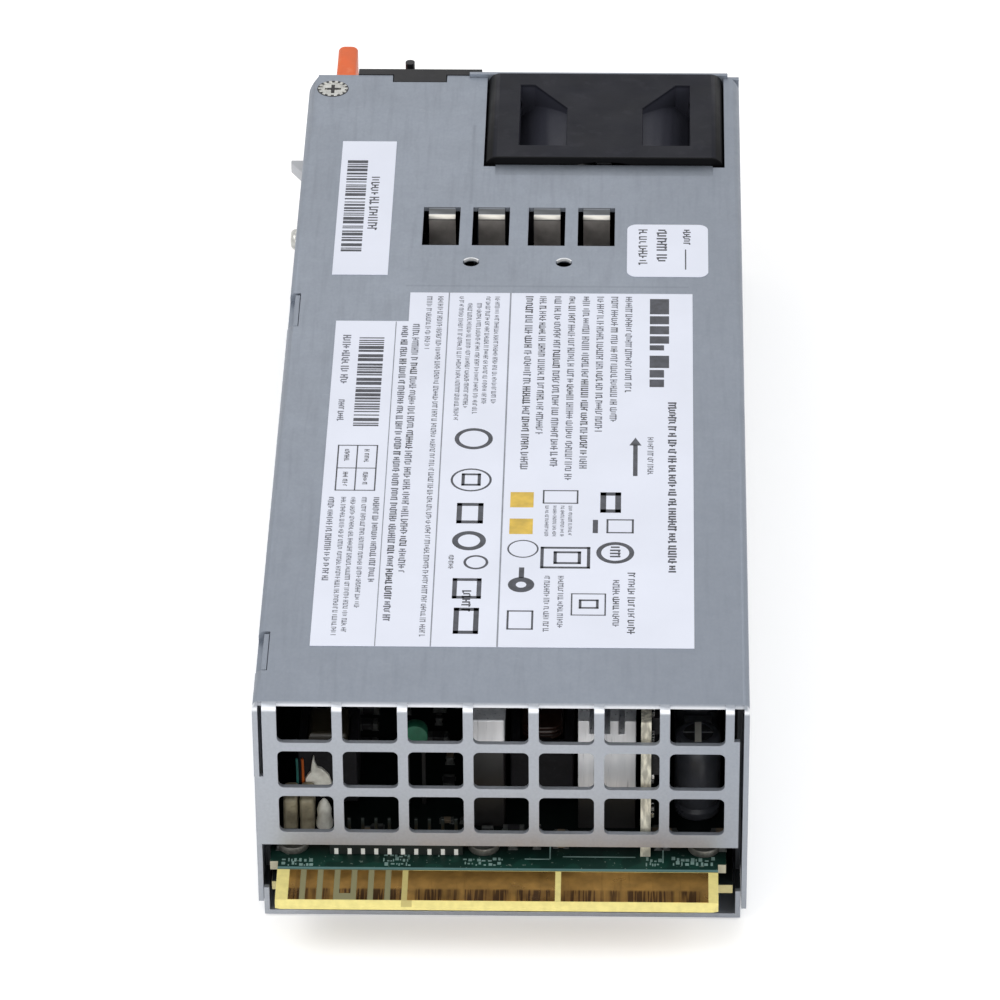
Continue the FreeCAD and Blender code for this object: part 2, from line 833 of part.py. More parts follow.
def make_tray():
    """Floor and side walls bent from one sheet."""
    tray = body("tray")
    section = sketch(tray, "tray_section", "XZ_Plane", "-tray_setback")
    polygon(section, [
        ("-tray_half", "0"),
        ("tray_half", "0"),
        ("tray_half", "tray_top"),
        ("tray_inner", "tray_top"),
        ("tray_inner", "sheet"),
        ("-tray_inner", "sheet"),
        ("-tray_inner", "tray_top"),
        ("-tray_half", "tray_top"),
    ])
    pad(tray, "tray_channel", section, "shell_end - tray_setback", reverse=True)

    front = sketch(tray, "wall_front_outline", "XZ_Plane", "1")
    rectangle(front, ("-half_width", "half_width"), ("wall_stub", "case_height"))
    pocket(tray, "wall_front", front, "wall_setback + 1")

    floor = sketch(tray, "fan_floor_outline", "XY_Plane", "sheet + 1")
    rectangle(floor, ("cut_left", "cut_right"), ("cut_front", "shell_end + 1"))
    pocket(tray, "fan_floor", floor, "sheet + 2")

    cut_corner(tray, "tray_corner", "tray_half", "case_height")
    panel = sketch(tray, "corner_panel_outline", "XY_Plane")
    polygon(panel, [
        ("-tray_half", "shell_end - corner_cut_along"),
        ("-tray_half + corner_cut_across", "shell_end"),
        ("-tray_half + corner_cut_across + sheet", "shell_end"),
        ("-tray_inner", "shell_end - corner_cut_along - sheet / 4"),
    ])
    pad(tray, "corner_panel", panel, "tray_top")
    hook_slot(tray, "tray_hook_slot", "tray_inner")

    for place in ("front_notch_y", "back_notch_y"):
        seam = sketch(tray, place + "_hook_outline", "YZ_Plane", "-tray_half")
        half = "(hook_notch_length / 2 - hook_slack)"
        rectangle(seam, (f"{place} - {half}", f"{place} + {half}"),
                  ("tray_top - sheet", "case_height - edge_margin"))
        pad(tray, place + "_hook", seam, "sheet")

    shelf = sketch(tray, "screw_tab_outline", "XY_Plane", "tray_top - sheet")
    rectangle(
        shelf,
        ("-tray_inner - sheet / 2", "screw_x + screw_tab_width / 2"),
        ("screw_y - screw_tab_length / 2", "shell_end - corner_cut_along / 4"),
    )
    pad(tray, "screw_tab", shelf, "sheet")
    cut_corner(tray, "screw_tab_corner", "tray_half", "case_height")
    hole = sketch(tray, "screw_tab_hole_outline", "XY_Plane", "tray_top + 1")
    circle(hole, "screw_x", "screw_y", "screw_shank")
    pocket(tray, "screw_tab_hole", hole, "sheet + 2")

    rivets = sketch(tray, "rivet_holes_outline", "YZ_Plane", "-tray_inner + 1")
    for sign in ("-", "+"):
        circle(rivets, f"rivet_y {sign} rivet_spread", "latch_z + latch_height / 2", "rivet_radius")
    pocket(tray, "rivet_holes", rivets, "sheet + 2")
    return node(tray, "tray")


def make_cover():
    """Top, side flanges and the outlet grille bent from one sheet."""
    cover = body("cover")
    section = sketch(cover, "cover_section", "XZ_Plane")
    polygon(section, [
        ("-half_width", "flange_foot"),
        ("-half_width", "case_height"),
        ("half_width", "case_height"),
        ("half_width", "flange_foot"),
        ("flange_inner", "flange_foot"),
        ("flange_inner", "cover_under"),
        ("-flange_inner", "cover_under"),
        ("-flange_inner", "flange_foot"),
    ])
    channel = pad(cover, "cover_channel", section, "shell_end", reverse=True)
    doc.recompute()

    def side_bend(edge, middle):
        at_side = near(abs(middle.x), "half_width") and near(middle.z, "case_height")
        return at_side and runs_along(edge, 1)

    round_edges(cover, "side_bends", channel, edges_where(channel.Shape, side_bend), "bend_outer")

    step = sketch(cover, "flange_step_outline", "XZ_Plane", "1")
    rectangle(step, ("-half_width - 1", "-flange_inner + 0.1"), ("0", "left_step"))
    pocket(cover, "flange_step", step, "1 + sheet + lap_gap")
    relief = sketch(cover, "bend_relief_outline", "XZ_Plane", "1")
    rectangle(relief, ("-flange_inner", "-flange_inner + slit_narrow"), ("left_step", "case_height + 1"))
    rectangle(relief, ("flange_inner - slit_wide", "flange_inner"), ("right_step", "case_height + 1"))
    pocket(cover, "bend_relief", relief, "1 + bend_outer + lap_gap")

    plate = sketch(cover, "grille_outline", "XZ_Plane")
    polygon(plate, [
        ("-half_width + edge_margin", "grille_foot"),
        ("flange_inner - slit_narrow", "grille_foot"),
        ("flange_inner - slit_narrow", "right_step"),
        ("flange_inner - slit_wide", "right_step"),
        ("flange_inner - slit_wide", "case_height"),
        ("-flange_inner + slit_narrow", "case_height"),
        ("-flange_inner + slit_narrow", "left_step"),
        ("-half_width + edge_margin", "left_step"),
    ])
    front = pad(cover, "grille_plate", plate, "sheet", reverse=True)
    doc.recompute()

    def front_bend(edge, middle):
        at_front = near(middle.y, "0") and near(middle.z, "case_height")
        return at_front and runs_along(edge, 0) and abs(middle.x) < number("case_width / 4")

    round_edges(cover, "front_bend", front, edges_where(front.Shape, front_bend), "bend_outer")

    first_column = "-(grille_columns - 1) / 2 * column_pitch"
    low_rows = sketch(cover, "low_rows_outline", "XZ_Plane", "1")
    across = (f"{first_column} - hole_width / 2", f"{first_column} + hole_width / 2")
    for index in range(int(number("grille_rows")) - 1):
        middle = f"low_row + {index} * row_pitch"
        rounded(low_rows, across, (f"{middle} - hole_height / 2", f"{middle} + hole_height / 2"),
                "hole_corner")
    holes = pocket(cover, "low_rows", low_rows, "2 + sheet")
    repeat(cover, "low_row_columns", holes, "X_Axis", "(grille_columns - 1) * column_pitch",
           "grille_columns")
    top_row = sketch(cover, "top_row_outline", "XZ_Plane", "1")
    rounded(top_row, across, ("low_row + (grille_rows - 1) * row_pitch - hole_height / 2", "case_height + 3"),
            "hole_corner")
    notches = pocket(cover, "top_row", top_row, "1 + notch_depth")
    repeat(cover, "top_row_columns", notches, "X_Axis", "(grille_columns - 1) * column_pitch",
           "grille_columns")

    openings = sketch(cover, "top_openings_outline", "XY_Plane", "case_height + 1")
    for centre in ("-window_outer", "-window_inner", "window_inner", "window_outer"):
        rectangle(openings, (f"{centre} - window_width / 2", f"{centre} + window_width / 2"),
                  ("window_y - window_length", "window_y"))
    for centre in ("-peep_reach", "peep_reach"):
        circle(openings, centre, "peep_y", "peep_radius")
    rectangle(openings, ("clip_left - clip_slack", "clip_right + clip_slack"),
              ("shell_end - clip_depth", "shell_end + 1"))
    polygon(openings, [
        ("cut_left", "shell_end + 1"),
        ("cut_left", "cut_front - relief_depth"),
        ("cut_left + relief_width", "cut_front - relief_depth"),
        ("cut_left + relief_width", "cut_front"),
        ("cut_right - relief_width", "cut_front"),
        ("cut_right - relief_width", "cut_front - relief_depth"),
        ("cut_right", "cut_front - relief_depth"),
        ("cut_right", "shell_end + 1"),
    ])
    pocket(cover, "top_openings", openings, "sheet + 2")

    seam = sketch(cover, "seam_notches_outline", "XY_Plane", "case_height + 1")
    for place in ("front_notch_y", "back_notch_y"):
        rectangle(seam, ("-half_width - 1", "-tray_inner + lap_gap"),
                  (f"{place} - hook_notch_length / 2", f"{place} + hook_notch_length / 2"))
    pocket(cover, "seam_notches", seam, "1 + bend_outer + sheet")

    dip = sketch(cover, "fan_dip_outline", "YZ_Plane", "cut_right - relief_width")
    polygon(dip, [
        ("cut_front - dip_run", "case_height"),
        ("cut_front", "case_height - dip_drop"),
        ("cut_front + 1", "case_height - dip_drop"),
        ("cut_front + 1", "case_height + 1"),
        ("cut_front - dip_run", "case_height + 1"),
    ])
    pocket(cover, "fan_dip", dip, "cut_right - cut_left - 2 * relief_width")

    head = sketch(cover, "screw_seat_outline", "XY_Plane", "case_height + 1")
    circle(head, "screw_x", "screw_y", "screw_head")
    pocket(cover, "screw_seat", head, "1 + screw_sink")
    hole = sketch(cover, "screw_hole_outline", "XY_Plane", "case_height + 1")
    circle(hole, "screw_x", "screw_y", "screw_shank")
    pocket(cover, "screw_hole", hole, "2 + sheet")

    cut_corner(cover, "cover_corner", "half_width", "case_height")
    small = sketch(cover, "small_corner_outline", "XY_Plane", "case_height + 1")
    polygon(small, [
        ("half_width + 1", "shell_end - 2 * corner_cut_small"),
        ("half_width", "shell_end - 2 * corner_cut_small"),
        ("half_width - corner_cut_small", "shell_end"),
        ("half_width - corner_cut_small", "shell_end + 1"),
        ("half_width + 1", "shell_end + 1"),
    ])
    pocket(cover, "small_corner", small, "case_height + 2")
    hook_slot(cover, "cover_hook_slot", "flange_inner")
    button = sketch(cover, "button_hole_outline", "YZ_Plane", "-flange_inner + 1")
    circle(button, "button_y", "button_z", "button_shank")
    last = pocket(cover, "button_hole", button, "sheet + 2")

    for index, centre in enumerate(("-window_outer", "-window_inner", "window_inner", "window_outer")):
        bent = sketch(cover, f"baffle_{index}_outline", "YZ_Plane", f"{centre} - baffle_width / 2")
        polygon(bent, [
            ("window_y", "case_height"),
            ("window_y - baffle_bend", "case_height"),
            ("window_y - baffle_bend", "case_height - baffle_drop"),
            ("window_y - baffle_bend + sheet", "case_height - baffle_drop"),
            ("window_y - baffle_bend + sheet", "cover_under"),
            ("window_y", "cover_under"),
        ])
        last = pad(cover, f"baffle_{index}", bent, "baffle_width")
    doc.recompute()

    def baffle_fold(edge, middle):
        return (runs_along(edge, 0) and near(middle.y, "window_y - baffle_bend")
                and near(middle.z, "case_height"))

    round_edges(cover, "baffle_folds", last, edges_where(last.Shape, baffle_fold),
                "baffle_bend - lap_gap")
    return node(cover, "cover")


def make_end_plate():
    """The plate that closes the mains end."""
    plate = body("end_plate")
    outline = sketch(plate, "end_plate_outline", "XZ_Plane", "-case_length")
    top = "case_height - edge_margin"
    rim = "case_height + rim_rise"
    notch = "case_height - clip_thick - clip_slack"
    polygon(outline, [
        ("-half_width + corner_cut_across", "0"),
        ("half_width", "0"),
        ("half_width", top),
        ("fan_x + rim_right", top),
        ("fan_x + rim_right", rim),
        ("fan_x - rim_left", rim),
        ("fan_x - rim_left", top),
        ("clip_right + clip_slack", top),
        ("clip_right + clip_slack", notch),
        ("clip_left - clip_slack", notch),
        ("clip_left - clip_slack", top),
        ("-half_width + corner_cut_across", top),
    ])
    pad(plate, "end_sheet", outline, "sheet", reverse=False)
    openings = sketch(plate, "end_openings_outline", "XZ_Plane", "-case_length + sheet + 1")
    circle(openings, "fan_x", "fan_z", "fan_bore / 2")
    for across in ("-", "+"):
        for up in ("-", "+"):
            circle(openings, f"fan_x {across} fan_hole_half", f"fan_z {up} fan_hole_half",
                   "fan_hole_radius")
    circle(openings, "lamp_x", "lamp_z", "lamp_radius")
    slot_left = "tongue_outer - slot_margin / 2"
    polygon(openings, [
        (slot_left, "latch_z - slot_margin"),
        ("inlet_left", "latch_z - slot_margin"),
        ("inlet_left", "inlet_foot"),
        ("inlet_right", "inlet_foot"),
        ("inlet_right", "inlet_top"),
        ("inlet_left", "inlet_top"),
        ("inlet_left", "latch_top + slot_margin"),
        (slot_left, "latch_top + slot_margin"),
    ])
    pocket(plate, "end_openings", openings, "sheet + 2")
    return node(plate, "end_plate")


def make_cover_screw():
    """A countersunk cross-head screw near the far left corner."""
    top = "case_height"
    head = rod("screw_disc", "+Z", "screw_x", "screw_y", f"{top} - screw_sink", "screw_head", "screw_sink")
    shank = rod("screw_stem", "+Z", "screw_x", "screw_y", f"{top} - screw_length", "screw_shank",
                "screw_length")
    floor = (f"{top} - cross_depth", f"{top} + 1")
    bar_x = box("cross_x", ("screw_x - cross_length / 2", "screw_x + cross_length / 2"),
                ("screw_y - cross_width / 2", "screw_y + cross_width / 2"), floor)
    bar_y = box("cross_y", ("screw_x - cross_width / 2", "screw_x + cross_width / 2"),
                ("screw_y - cross_length / 2", "screw_y + cross_length / 2"), floor)
    return node(cut("cover_screw", fuse("screw_blank", [head, shank]), [bar_x, bar_y]), "cover_screw")


def make_side_button():
    """A dome headed stud on the left flange."""
    button = body("side_button")
    turned = sketch(button, "button_outline", "YZ_Plane", "-half_width")
    circle(turned, "button_y", "button_z", "button_radius")
    head = pad(button, "button_head", turned, "button_height", reverse=True)
    doc.recompute()
    rim = edges_where(head.Shape, lambda edge, middle: near(middle.x, "-half_width - button_height"))
    round_edges(button, "button_dome", head, rim, "button_round")
    stem = sketch(button, "button_stem_outline", "YZ_Plane", "-half_width - button_height / 2")
    circle(stem, "button_y", "button_z", "button_shank")
    pad(button, "button_stem", stem, "button_height / 2 + sheet")
    return node(button, "side_button")


# ---------------------------------------------------------------------------
# Fan
# ---------------------------------------------------------------------------

def fan_webs():
    """Webs that close the rear inner corner of every opening between the flanges."""
    rear = "fan_back - fan_flange"
    webs = []
    for sign in ("-", "+"):
        for plane, start, centre in (("XY_Plane", "0", "fan_x"), ("YZ_Plane", "fan_left", "fan_z")):
            inner = f"{centre} {sign} fan_rib_half"
            outer = f"{centre} {sign} fan_pocket_low"
            corners = [(inner, f"{rear} - fan_web_run"), (outer, rear), (inner, rear)]
            if plane == "YZ_Plane":
                corners = [(along, across) for across, along in corners]
            web = body("fan_web")
            outline = sketch(web, "fan_web_outline", plane, start)
            polygon(outline, corners)
            pad(web, "fan_web_pad", outline, "fan_size")
            webs.append(web)
    return webs


def make_fan_frame():
    """A square frame round a barrel, open at the sides between its two flanges."""
    block = body("fan_block")
    outline = sketch(block, "fan_block_outline", "XZ_Plane", "-fan_front")
    rounded(outline, ("fan_left", "fan_right"), ("0", "fan_size"), "fan_corner")
    pad(block, "fan_block_pad", outline, "fan_depth", reverse=True)

    def offset(centre, sign, low, high):
        if sign > 0:
            return (f"{centre} + {low}", f"{centre} + {high}")
        return (f"{centre} - ({high})", f"{centre} - ({low})")

    inner_y = ("fan_front + fan_flange", "fan_back - fan_flange")
    along = ("fan_rib_half", "(fan_size / 2 - fan_post)")
    outward = ("fan_pocket_low", "(fan_size / 2 + 1)")
    pockets = []
    for sign in (-1, 1):
        for side in (-1, 1):
            pockets.append(box("fan_pocket", offset("fan_x", side, *along), inner_y,
                               offset("fan_z", sign, *outward)))
            pockets.append(box("fan_pocket", offset("fan_x", sign, *outward), inner_y,
                               offset("fan_z", side, *along)))
    barrel = rod("fan_barrel_solid", "+Y", "fan_x", "fan_front", "fan_z", "fan_barrel / 2", "fan_depth")
    recesses = cut("fan_recesses", fuse("fan_pockets", pockets), [barrel] + fan_webs())
    bore = rod("fan_bore_solid", "+Y", "fan_x", "fan_front - 1", "fan_z", "fan_bore / 2", "fan_depth + 2")
    tools = [recesses, bore]
    for across in ("-", "+"):
        for up in ("-", "+"):
            tools.append(rod("fan_hole", "+Y", f"fan_x {across} fan_hole_half", "fan_front - 1",
                             f"fan_z {up} fan_hole_half", "fan_hole_radius", "fan_depth + 2"))
    return node(cut("fan_frame", block, tools), "fan_frame")


def make_fan_motor():
    """The fixed motor: base, arms to the frame, winding stack and bearing tube."""
    base = rod("motor_disc", "+Y", "fan_x", "fan_front", "fan_z", "motor_radius", "motor_base")
    reach = "fan_bore / 2 + 1"
    level = ("fan_front", "fan_front + motor_base")
    flat = box("arm_flat", (f"fan_x - ({reach})", f"fan_x + {reach}"), level,
               ("fan_z - arm_width / 2", "fan_z + arm_width / 2"))
    upright = box("arm_upright", ("fan_x - arm_width / 2", "fan_x + arm_width / 2"), level,
                  (f"fan_z - ({reach})", f"fan_z + {reach}"))
    round_limit = rod("arm_limit", "+Y", "fan_x", "fan_front", "fan_z", "fan_bore / 2", "motor_base")
    arms = doc.addObject("Part::Common", "arms")
    arms.Base = fuse("arm_cross", [flat, upright])
    arms.Tool = round_limit
    stack = rod("winding_stack", "+Y", "fan_x", "fan_front + motor_base", "fan_z", "stack_radius",
                "stack_length")
    tube = rod("bearing_tube", "+Y", "fan_x", "fan_front", "fan_z", "bearing_radius",
               "motor_base + bearing_length")
    bearing = rod("bearing_bore", "+Y", "fan_x", "fan_front + motor_base / 2", "fan_z",
                  "axle_radius + axle_gap", "fan_depth")
    motor = cut("fan_motor", fuse("motor_solid", [base, arms, stack, tube]), [bearing])
    return node(motor, "fan_motor")


def make_fan_rotor():
    """Hub cup, axle and pitched blades."""
    hub_y = "fan_front + motor_base + hub_gap"
    cup = rod("hub_solid", "+Y", "fan_x", hub_y, "fan_z", "motor_radius", "hub_length")
    hollow = rod("hub_hollow", "+Y", "fan_x", f"{hub_y} - 1", "fan_z", "motor_radius - hub_wall",
                 "hub_length - hub_wall + 1")
    hub = cut("hub_cup", cup, [hollow])
    axle = rod("axle", "+Y", "fan_x", f"{hub_y} - hub_gap / 2", "fan_z", "axle_radius",
               "hub_length - hub_wall / 2")
    blades = []
    middle = Vector(number("fan_x"), number(f"{hub_y} + hub_length / 2"), number("fan_z"))
    root = number("motor_radius - hub_wall / 2")
    count = int(number("blade_count"))
    for index in range(count):
        blade = doc.addObject("Part::Box", f"blade_{index}")
        bind(blade, Length="(fan_bore - motor_radius) / 2 + 2", Width="blade_chord", Height="blade_thick")
        around = Placement(middle, Rotation(Vector(0, 1, 0), 360 * index / count))
        pitched = Placement(Vector(), Rotation(Vector(1, 0, 0), number("blade_pitch")))
        corner = Vector(root, -number("blade_chord") / 2, -number("blade_thick") / 2)
        blade.Placement = around * pitched * Placement(corner, Rotation())
        blades.append(blade)
    swept = rod("blade_limit", "+Y", "fan_x", hub_y, "fan_z", "fan_bore / 2 - blade_tip_gap", "hub_length")
    trimmed = doc.addObject("Part::Common", "blades_trimmed")
    trimmed.Base = fuse("blades", blades)
    trimmed.Tool = swept
    return node(fuse("fan_rotor", [hub, axle, trimmed]), "fan_rotor")


def make_fan_guard():
    """A wire finger guard outside the end plate: rings on four bars that end in eyelets."""
    wire_y = "case_length + guard_wire"
    parts = []
    for index in range(int(number("guard_rings"))):
        parts.append(ring(f"guard_ring_{index}", "+Y", "fan_x", f"{wire_y} + guard_lift", "fan_z",
                          f"guard_ring + {index} * guard_step", "guard_wire"))
    for across, up, turn in (("+", "+", 45), ("-", "+", -45), ("-", "-", -135), ("+", "-", 135)):
        bar = doc.addObject("Part::Cylinder", "guard_bar")
        bar.Placement = Placement(Vector(), Rotation(Vector(0, 1, 0), turn))
        bind(bar, Radius="guard_bar",
             Height="sqrt(2) * fan_hole_half - eyelet_radius - guard_ring + guard_wire")
        inner = "(guard_ring - guard_wire) / sqrt(2)"
        parts.append(at(bar, f"fan_x {across} {inner}", wire_y, f"fan_z {up} {inner}"))
        parts.append(ring("guard_eyelet", "+Y", f"fan_x {across} fan_hole_half", wire_y,
                          f"fan_z {up} fan_hole_half", "eyelet_radius", "guard_wire"))
    return node(fuse("fan_guard", parts), "fan_guard")


def make_fan_screws():
    """Four screws through the guard and the end plate into the fan frame."""
    screws = []
    seat = "case_length + 2 * guard_wire"
    for across in ("-", "+"):
        for up in ("-", "+"):
            x = f"fan_x {across} fan_hole_half"
            z = f"fan_z {up} fan_hole_half"
            head = rod("fan_screw_disc", "+Y", x, seat, z, "fan_screw_head", "fan_screw_thick")
            stem = rod("fan_screw_stem", "+Y", x, "fan_back - fan_screw_reach", z, "fan_screw_shank",
                       f"{seat} - fan_back + fan_screw_reach")
            screws.append(fuse("fan_screw", [head, stem]))
    return node(group("fan_screws", screws), "fan_screws")


# ---------------------------------------------------------------------------
# Mains inlet, bezel and bail
# ---------------------------------------------------------------------------

def make_inlet():
    """A three blade inlet standing on its end, and its blades."""
    blades = []
    places = [
        ("inlet_x - blade_offset", "inlet_z - blade_spread"),
        ("inlet_x - blade_offset", "inlet_z + blade_spread"),
        ("inlet_x + blade_offset", "inlet_z"),
    ]
    for x, z in places:
        blades.append(box(
            "inlet_blade",
            (f"{x} - blade_wide / 2", f"{x} + blade_wide / 2"),
            ("bezel_front - inlet_depth - terminal_reach",
             "bezel_front - socket_depth + blade_free"),
            (f"{z} - blade_thin / 2", f"{z} + blade_thin / 2"),
        ))
    pins = group("inlet_blades", blades)

    shell = body("inlet_block")
    outer = sketch(shell, "inlet_outline", "XZ_Plane", "-bezel_front")
    rectangle(outer, ("inlet_left", "inlet_right"), ("inlet_foot", "inlet_top"))
    pad(shell, "inlet_solid", outer, "inlet_depth")
    socket = sketch(shell, "socket_outline", "XZ_Plane", "-bezel_front - 1")
    low_x = "inlet_x - socket_width / 2"
    high_x = "inlet_x + socket_width / 2"
    low_z = "inlet_z - socket_height / 2"
    high_z = "inlet_z + socket_height / 2"
    polygon(socket, [
        (low_x, low_z),
        (f"{high_x} - socket_bevel", low_z),
        (high_x, f"{low_z} + socket_bevel"),
        (high_x, f"{high_z} - socket_bevel"),
        (f"{high_x} - socket_bevel", high_z),
        (low_x, high_z),
    ])
    pocket(shell, "socket", socket, "socket_depth + 1", reverse=True)
    return node(cut("inlet_housing", shell, [pins]), "inlet_housing"), node(pins, "inlet_blades")


def make_bezel():
    """A moulded bezel round the inlet, with a clip over the plate and two bail lugs."""
    bezel = body("inlet_bezel")
    outline = sketch(bezel, "bezel_outline", "XZ_Plane", "-case_length")
    polygon(outline, [
        ("bezel_left", "bezel_foot"),
        ("bezel_right", "bezel_foot"),
        ("bezel_right", "case_height"),
        ("bezel_left", "case_height"),
        ("bezel_left", "bezel_relief_top"),
        ("inlet_left", "bezel_relief_top"),
        ("inlet_left", "inlet_top"),
        ("inlet_right", "inlet_top"),
        ("inlet_right", "inlet_foot"),
        ("inlet_left", "inlet_foot"),
        ("inlet_left", "bezel_relief_foot"),
        ("bezel_left", "bezel_relief_foot"),
    ])
    pad(bezel, "bezel_plate", outline, "bezel_thick", reverse=True)
    clip = sketch(bezel, "clip_outline", "XZ_Plane", "-bezel_front")
    rectangle(clip, ("clip_left", "clip_right"), ("case_height - clip_thick", "case_height"))
    pad(bezel, "clip", clip, "bezel_thick + sheet + end_gap + clip_depth - clip_slack")
    lugs = (
        ("high", "bail_high + bail_wire + lug_gap", False),
        ("low", "bail_low - bail_wire - lug_gap", True),
    )
    for name, level, downward in lugs:
        lug = sketch(bezel, f"{name}_lug_outline", "XY_Plane", level)
        rectangle(lug, ("bail_x - lug_width / 2", "bail_x + lug_width / 2"),
                  ("case_length + bezel_thick / 2", "bail_y + lug_round"))
        circle(lug, "bail_x", "bail_y", "bail_wire + lug_hole_gap")
        pad(bezel, f"{name}_lug", lug, "lug_thick", reverse=downward)
    return node(bezel, "inlet_bezel")


def make_bail():
    """A wire bail, folded flat over the fan; its ends stand in the two lugs."""
    bail = body("bail")
    spine = sketch(bail, "bail_path", "XZ_Plane", "-bail_y")
    far = "bail_x + bail_reach"
    bends = [
        ("bail_x + bail_end_bend", "bail_high + bail_end_bend", "bail_end_bend", 2),
        (f"{far} - bail_corner", "bail_high - bail_corner", "bail_corner", 0),
        (f"{far} - bail_corner", "bail_low + bail_corner", "bail_corner", 3),
        ("bail_x + bail_end_bend", "bail_low - bail_end_bend", "bail_end_bend", 1),
    ]
    arcs = []
    for x, z, radius, quarter in bends:
        centre = Vector(number(x), number(z), 0)
        start = quarter * math.pi / 2
        shape = Part.ArcOfCircle(Part.Circle(centre, Vector(0, 0, 1), number(radius)), start,
                                 start + math.pi / 2)
        arcs.append((spine.addGeometry(shape), shape))
        fix(spine, arcs[-1][0], 3, x, z)
        fix_radius(spine, arcs[-1][0], radius)
    top = Vector(number("bail_x"), number("bail_high + bail_tip"), 0)
    foot = Vector(number("bail_x"), number("bail_low - bail_tip"), 0)
    # Which end of each quarter arc the wire enters by, from the top tip to the foot.
    enters = (1, 2, 2, 1)
    last = None
    for (arc, shape), end in zip(arcs, enters):
        entry = shape.StartPoint if end == 1 else shape.EndPoint
        leave = shape.EndPoint if end == 1 else shape.StartPoint
        line = spine.addGeometry(Part.LineSegment(last[1] if last else top, entry))
        if last:
            spine.addConstraint(Sketcher.Constraint("Tangent", last[0], last[2], line, 1))
        else:
            fix(spine, line, 1, "bail_x", "bail_high + bail_tip")
        spine.addConstraint(Sketcher.Constraint("Tangent", line, 2, arc, end))
        last = (arc, leave, 3 - end)
    line = spine.addGeometry(Part.LineSegment(last[1], foot))
    spine.addConstraint(Sketcher.Constraint("Tangent", last[0], last[2], line, 1))
    fix(spine, line, 2, "bail_x", "bail_low - bail_tip")

    profile = sketch(bail, "bail_profile", "XY_Plane", "bail_high + bail_tip")
    circle(profile, "bail_x", "bail_y", "bail_wire")
    doc.recompute()
    wire = bail.newObject("PartDesign::AdditivePipe", "bail_wire_run")
    wire.Profile = profile
    wire.Spine = (spine, [f"Edge{index + 1}" for index in range(len(spine.Shape.Edges))])
    return node(bail, "bail")


# ---------------------------------------------------------------------------
# Latch
# ---------------------------------------------------------------------------

def make_latch():
    """Spring root riveted to the wall, and the leaf that carries hook and grip."""
    level = ("latch_z", "latch_top")
    base = box("latch_root_plate", ("-tray_inner", "latch_inner"),
               ("latch_root_y - latch_base_length", "latch_root_y"), level)
    shanks = []
    rivets = []
    for sign in ("-", "+"):
        y = f"rivet_y {sign} rivet_spread"
        z = "latch_z + latch_height / 2"
        shank = rod("rivet_shank", "+X", "-tray_half", y, z, "rivet_radius", "latch_inner + tray_half")
        head = rod("rivet_disc", "+X", "latch_inner", y, z, "rivet_head", "rivet_thick")
        shanks.append(shank)
        rivets.append(fuse("rivet", [shank, head]))
    node(cut("latch_root", base, shanks), "latch_root")
    node(group("latch_rivets", rivets), "latch_rivets")

    leaf = body("latch_leaf")
    outline = sketch(leaf, "leaf_outline", "XY_Plane", "latch_z")
    root = "latch_root_y + latch_root_gap"
    tip = "-half_width - hook_reach"
    jog_in = "face_back - jog_start"
    jog_out = "face_back - jog_end"
    polygon(outline, [
        ("latch_outer", root),
        ("latch_outer", jog_in),
        ("tongue_outer", jog_out),
        ("tongue_outer", "leaf_end"),
        ("tongue_inner", "leaf_end"),
        ("tongue_inner", jog_out),
        ("latch_inner", jog_in),
        ("latch_inner", root),
    ])
    pad(leaf, "leaf_strip", outline, "latch_height")
    ear = sketch(leaf, "hook_outline", "XY_Plane", "latch_top - hook_height")
    polygon(ear, [
        ("latch_inner", "hook_y - hook_length"),
        ("latch_outer", "hook_y - hook_length"),
        (tip, "hook_y - hook_tip"),
        (tip, "hook_y"),
        ("latch_inner", "hook_y"),
    ])
    pad(leaf, "hook_ear", ear, "hook_height")
    node(leaf, "latch_leaf")

    block = body("grip_block")
    plan = sketch(block, "grip_outline", "XY_Plane", "latch_z - grip_low")
    rounded(plan, ("grip_left", "grip_left + grip_width"), ("grip_y", "grip_end"), "grip_round")
    tall = pad(block, "grip_pad", plan, "latch_height + grip_low + grip_high")
    doc.recompute()
    ends = edges_where(tall.Shape, lambda edge, middle: near(middle.z, "latch_top + grip_high")
                       or near(middle.z, "latch_z - grip_low"))
    round_edges(block, "grip_softened", tall, ends, "grip_round / 2")
    slot = box("grip_slot", ("tongue_outer", "tongue_inner"), ("grip_y - 1", "leaf_end"), level)
    return node(cut("latch_grip", block, [slot]), "latch_grip")


# ---------------------------------------------------------------------------
# Boards, card edge and their fixings
# ---------------------------------------------------------------------------

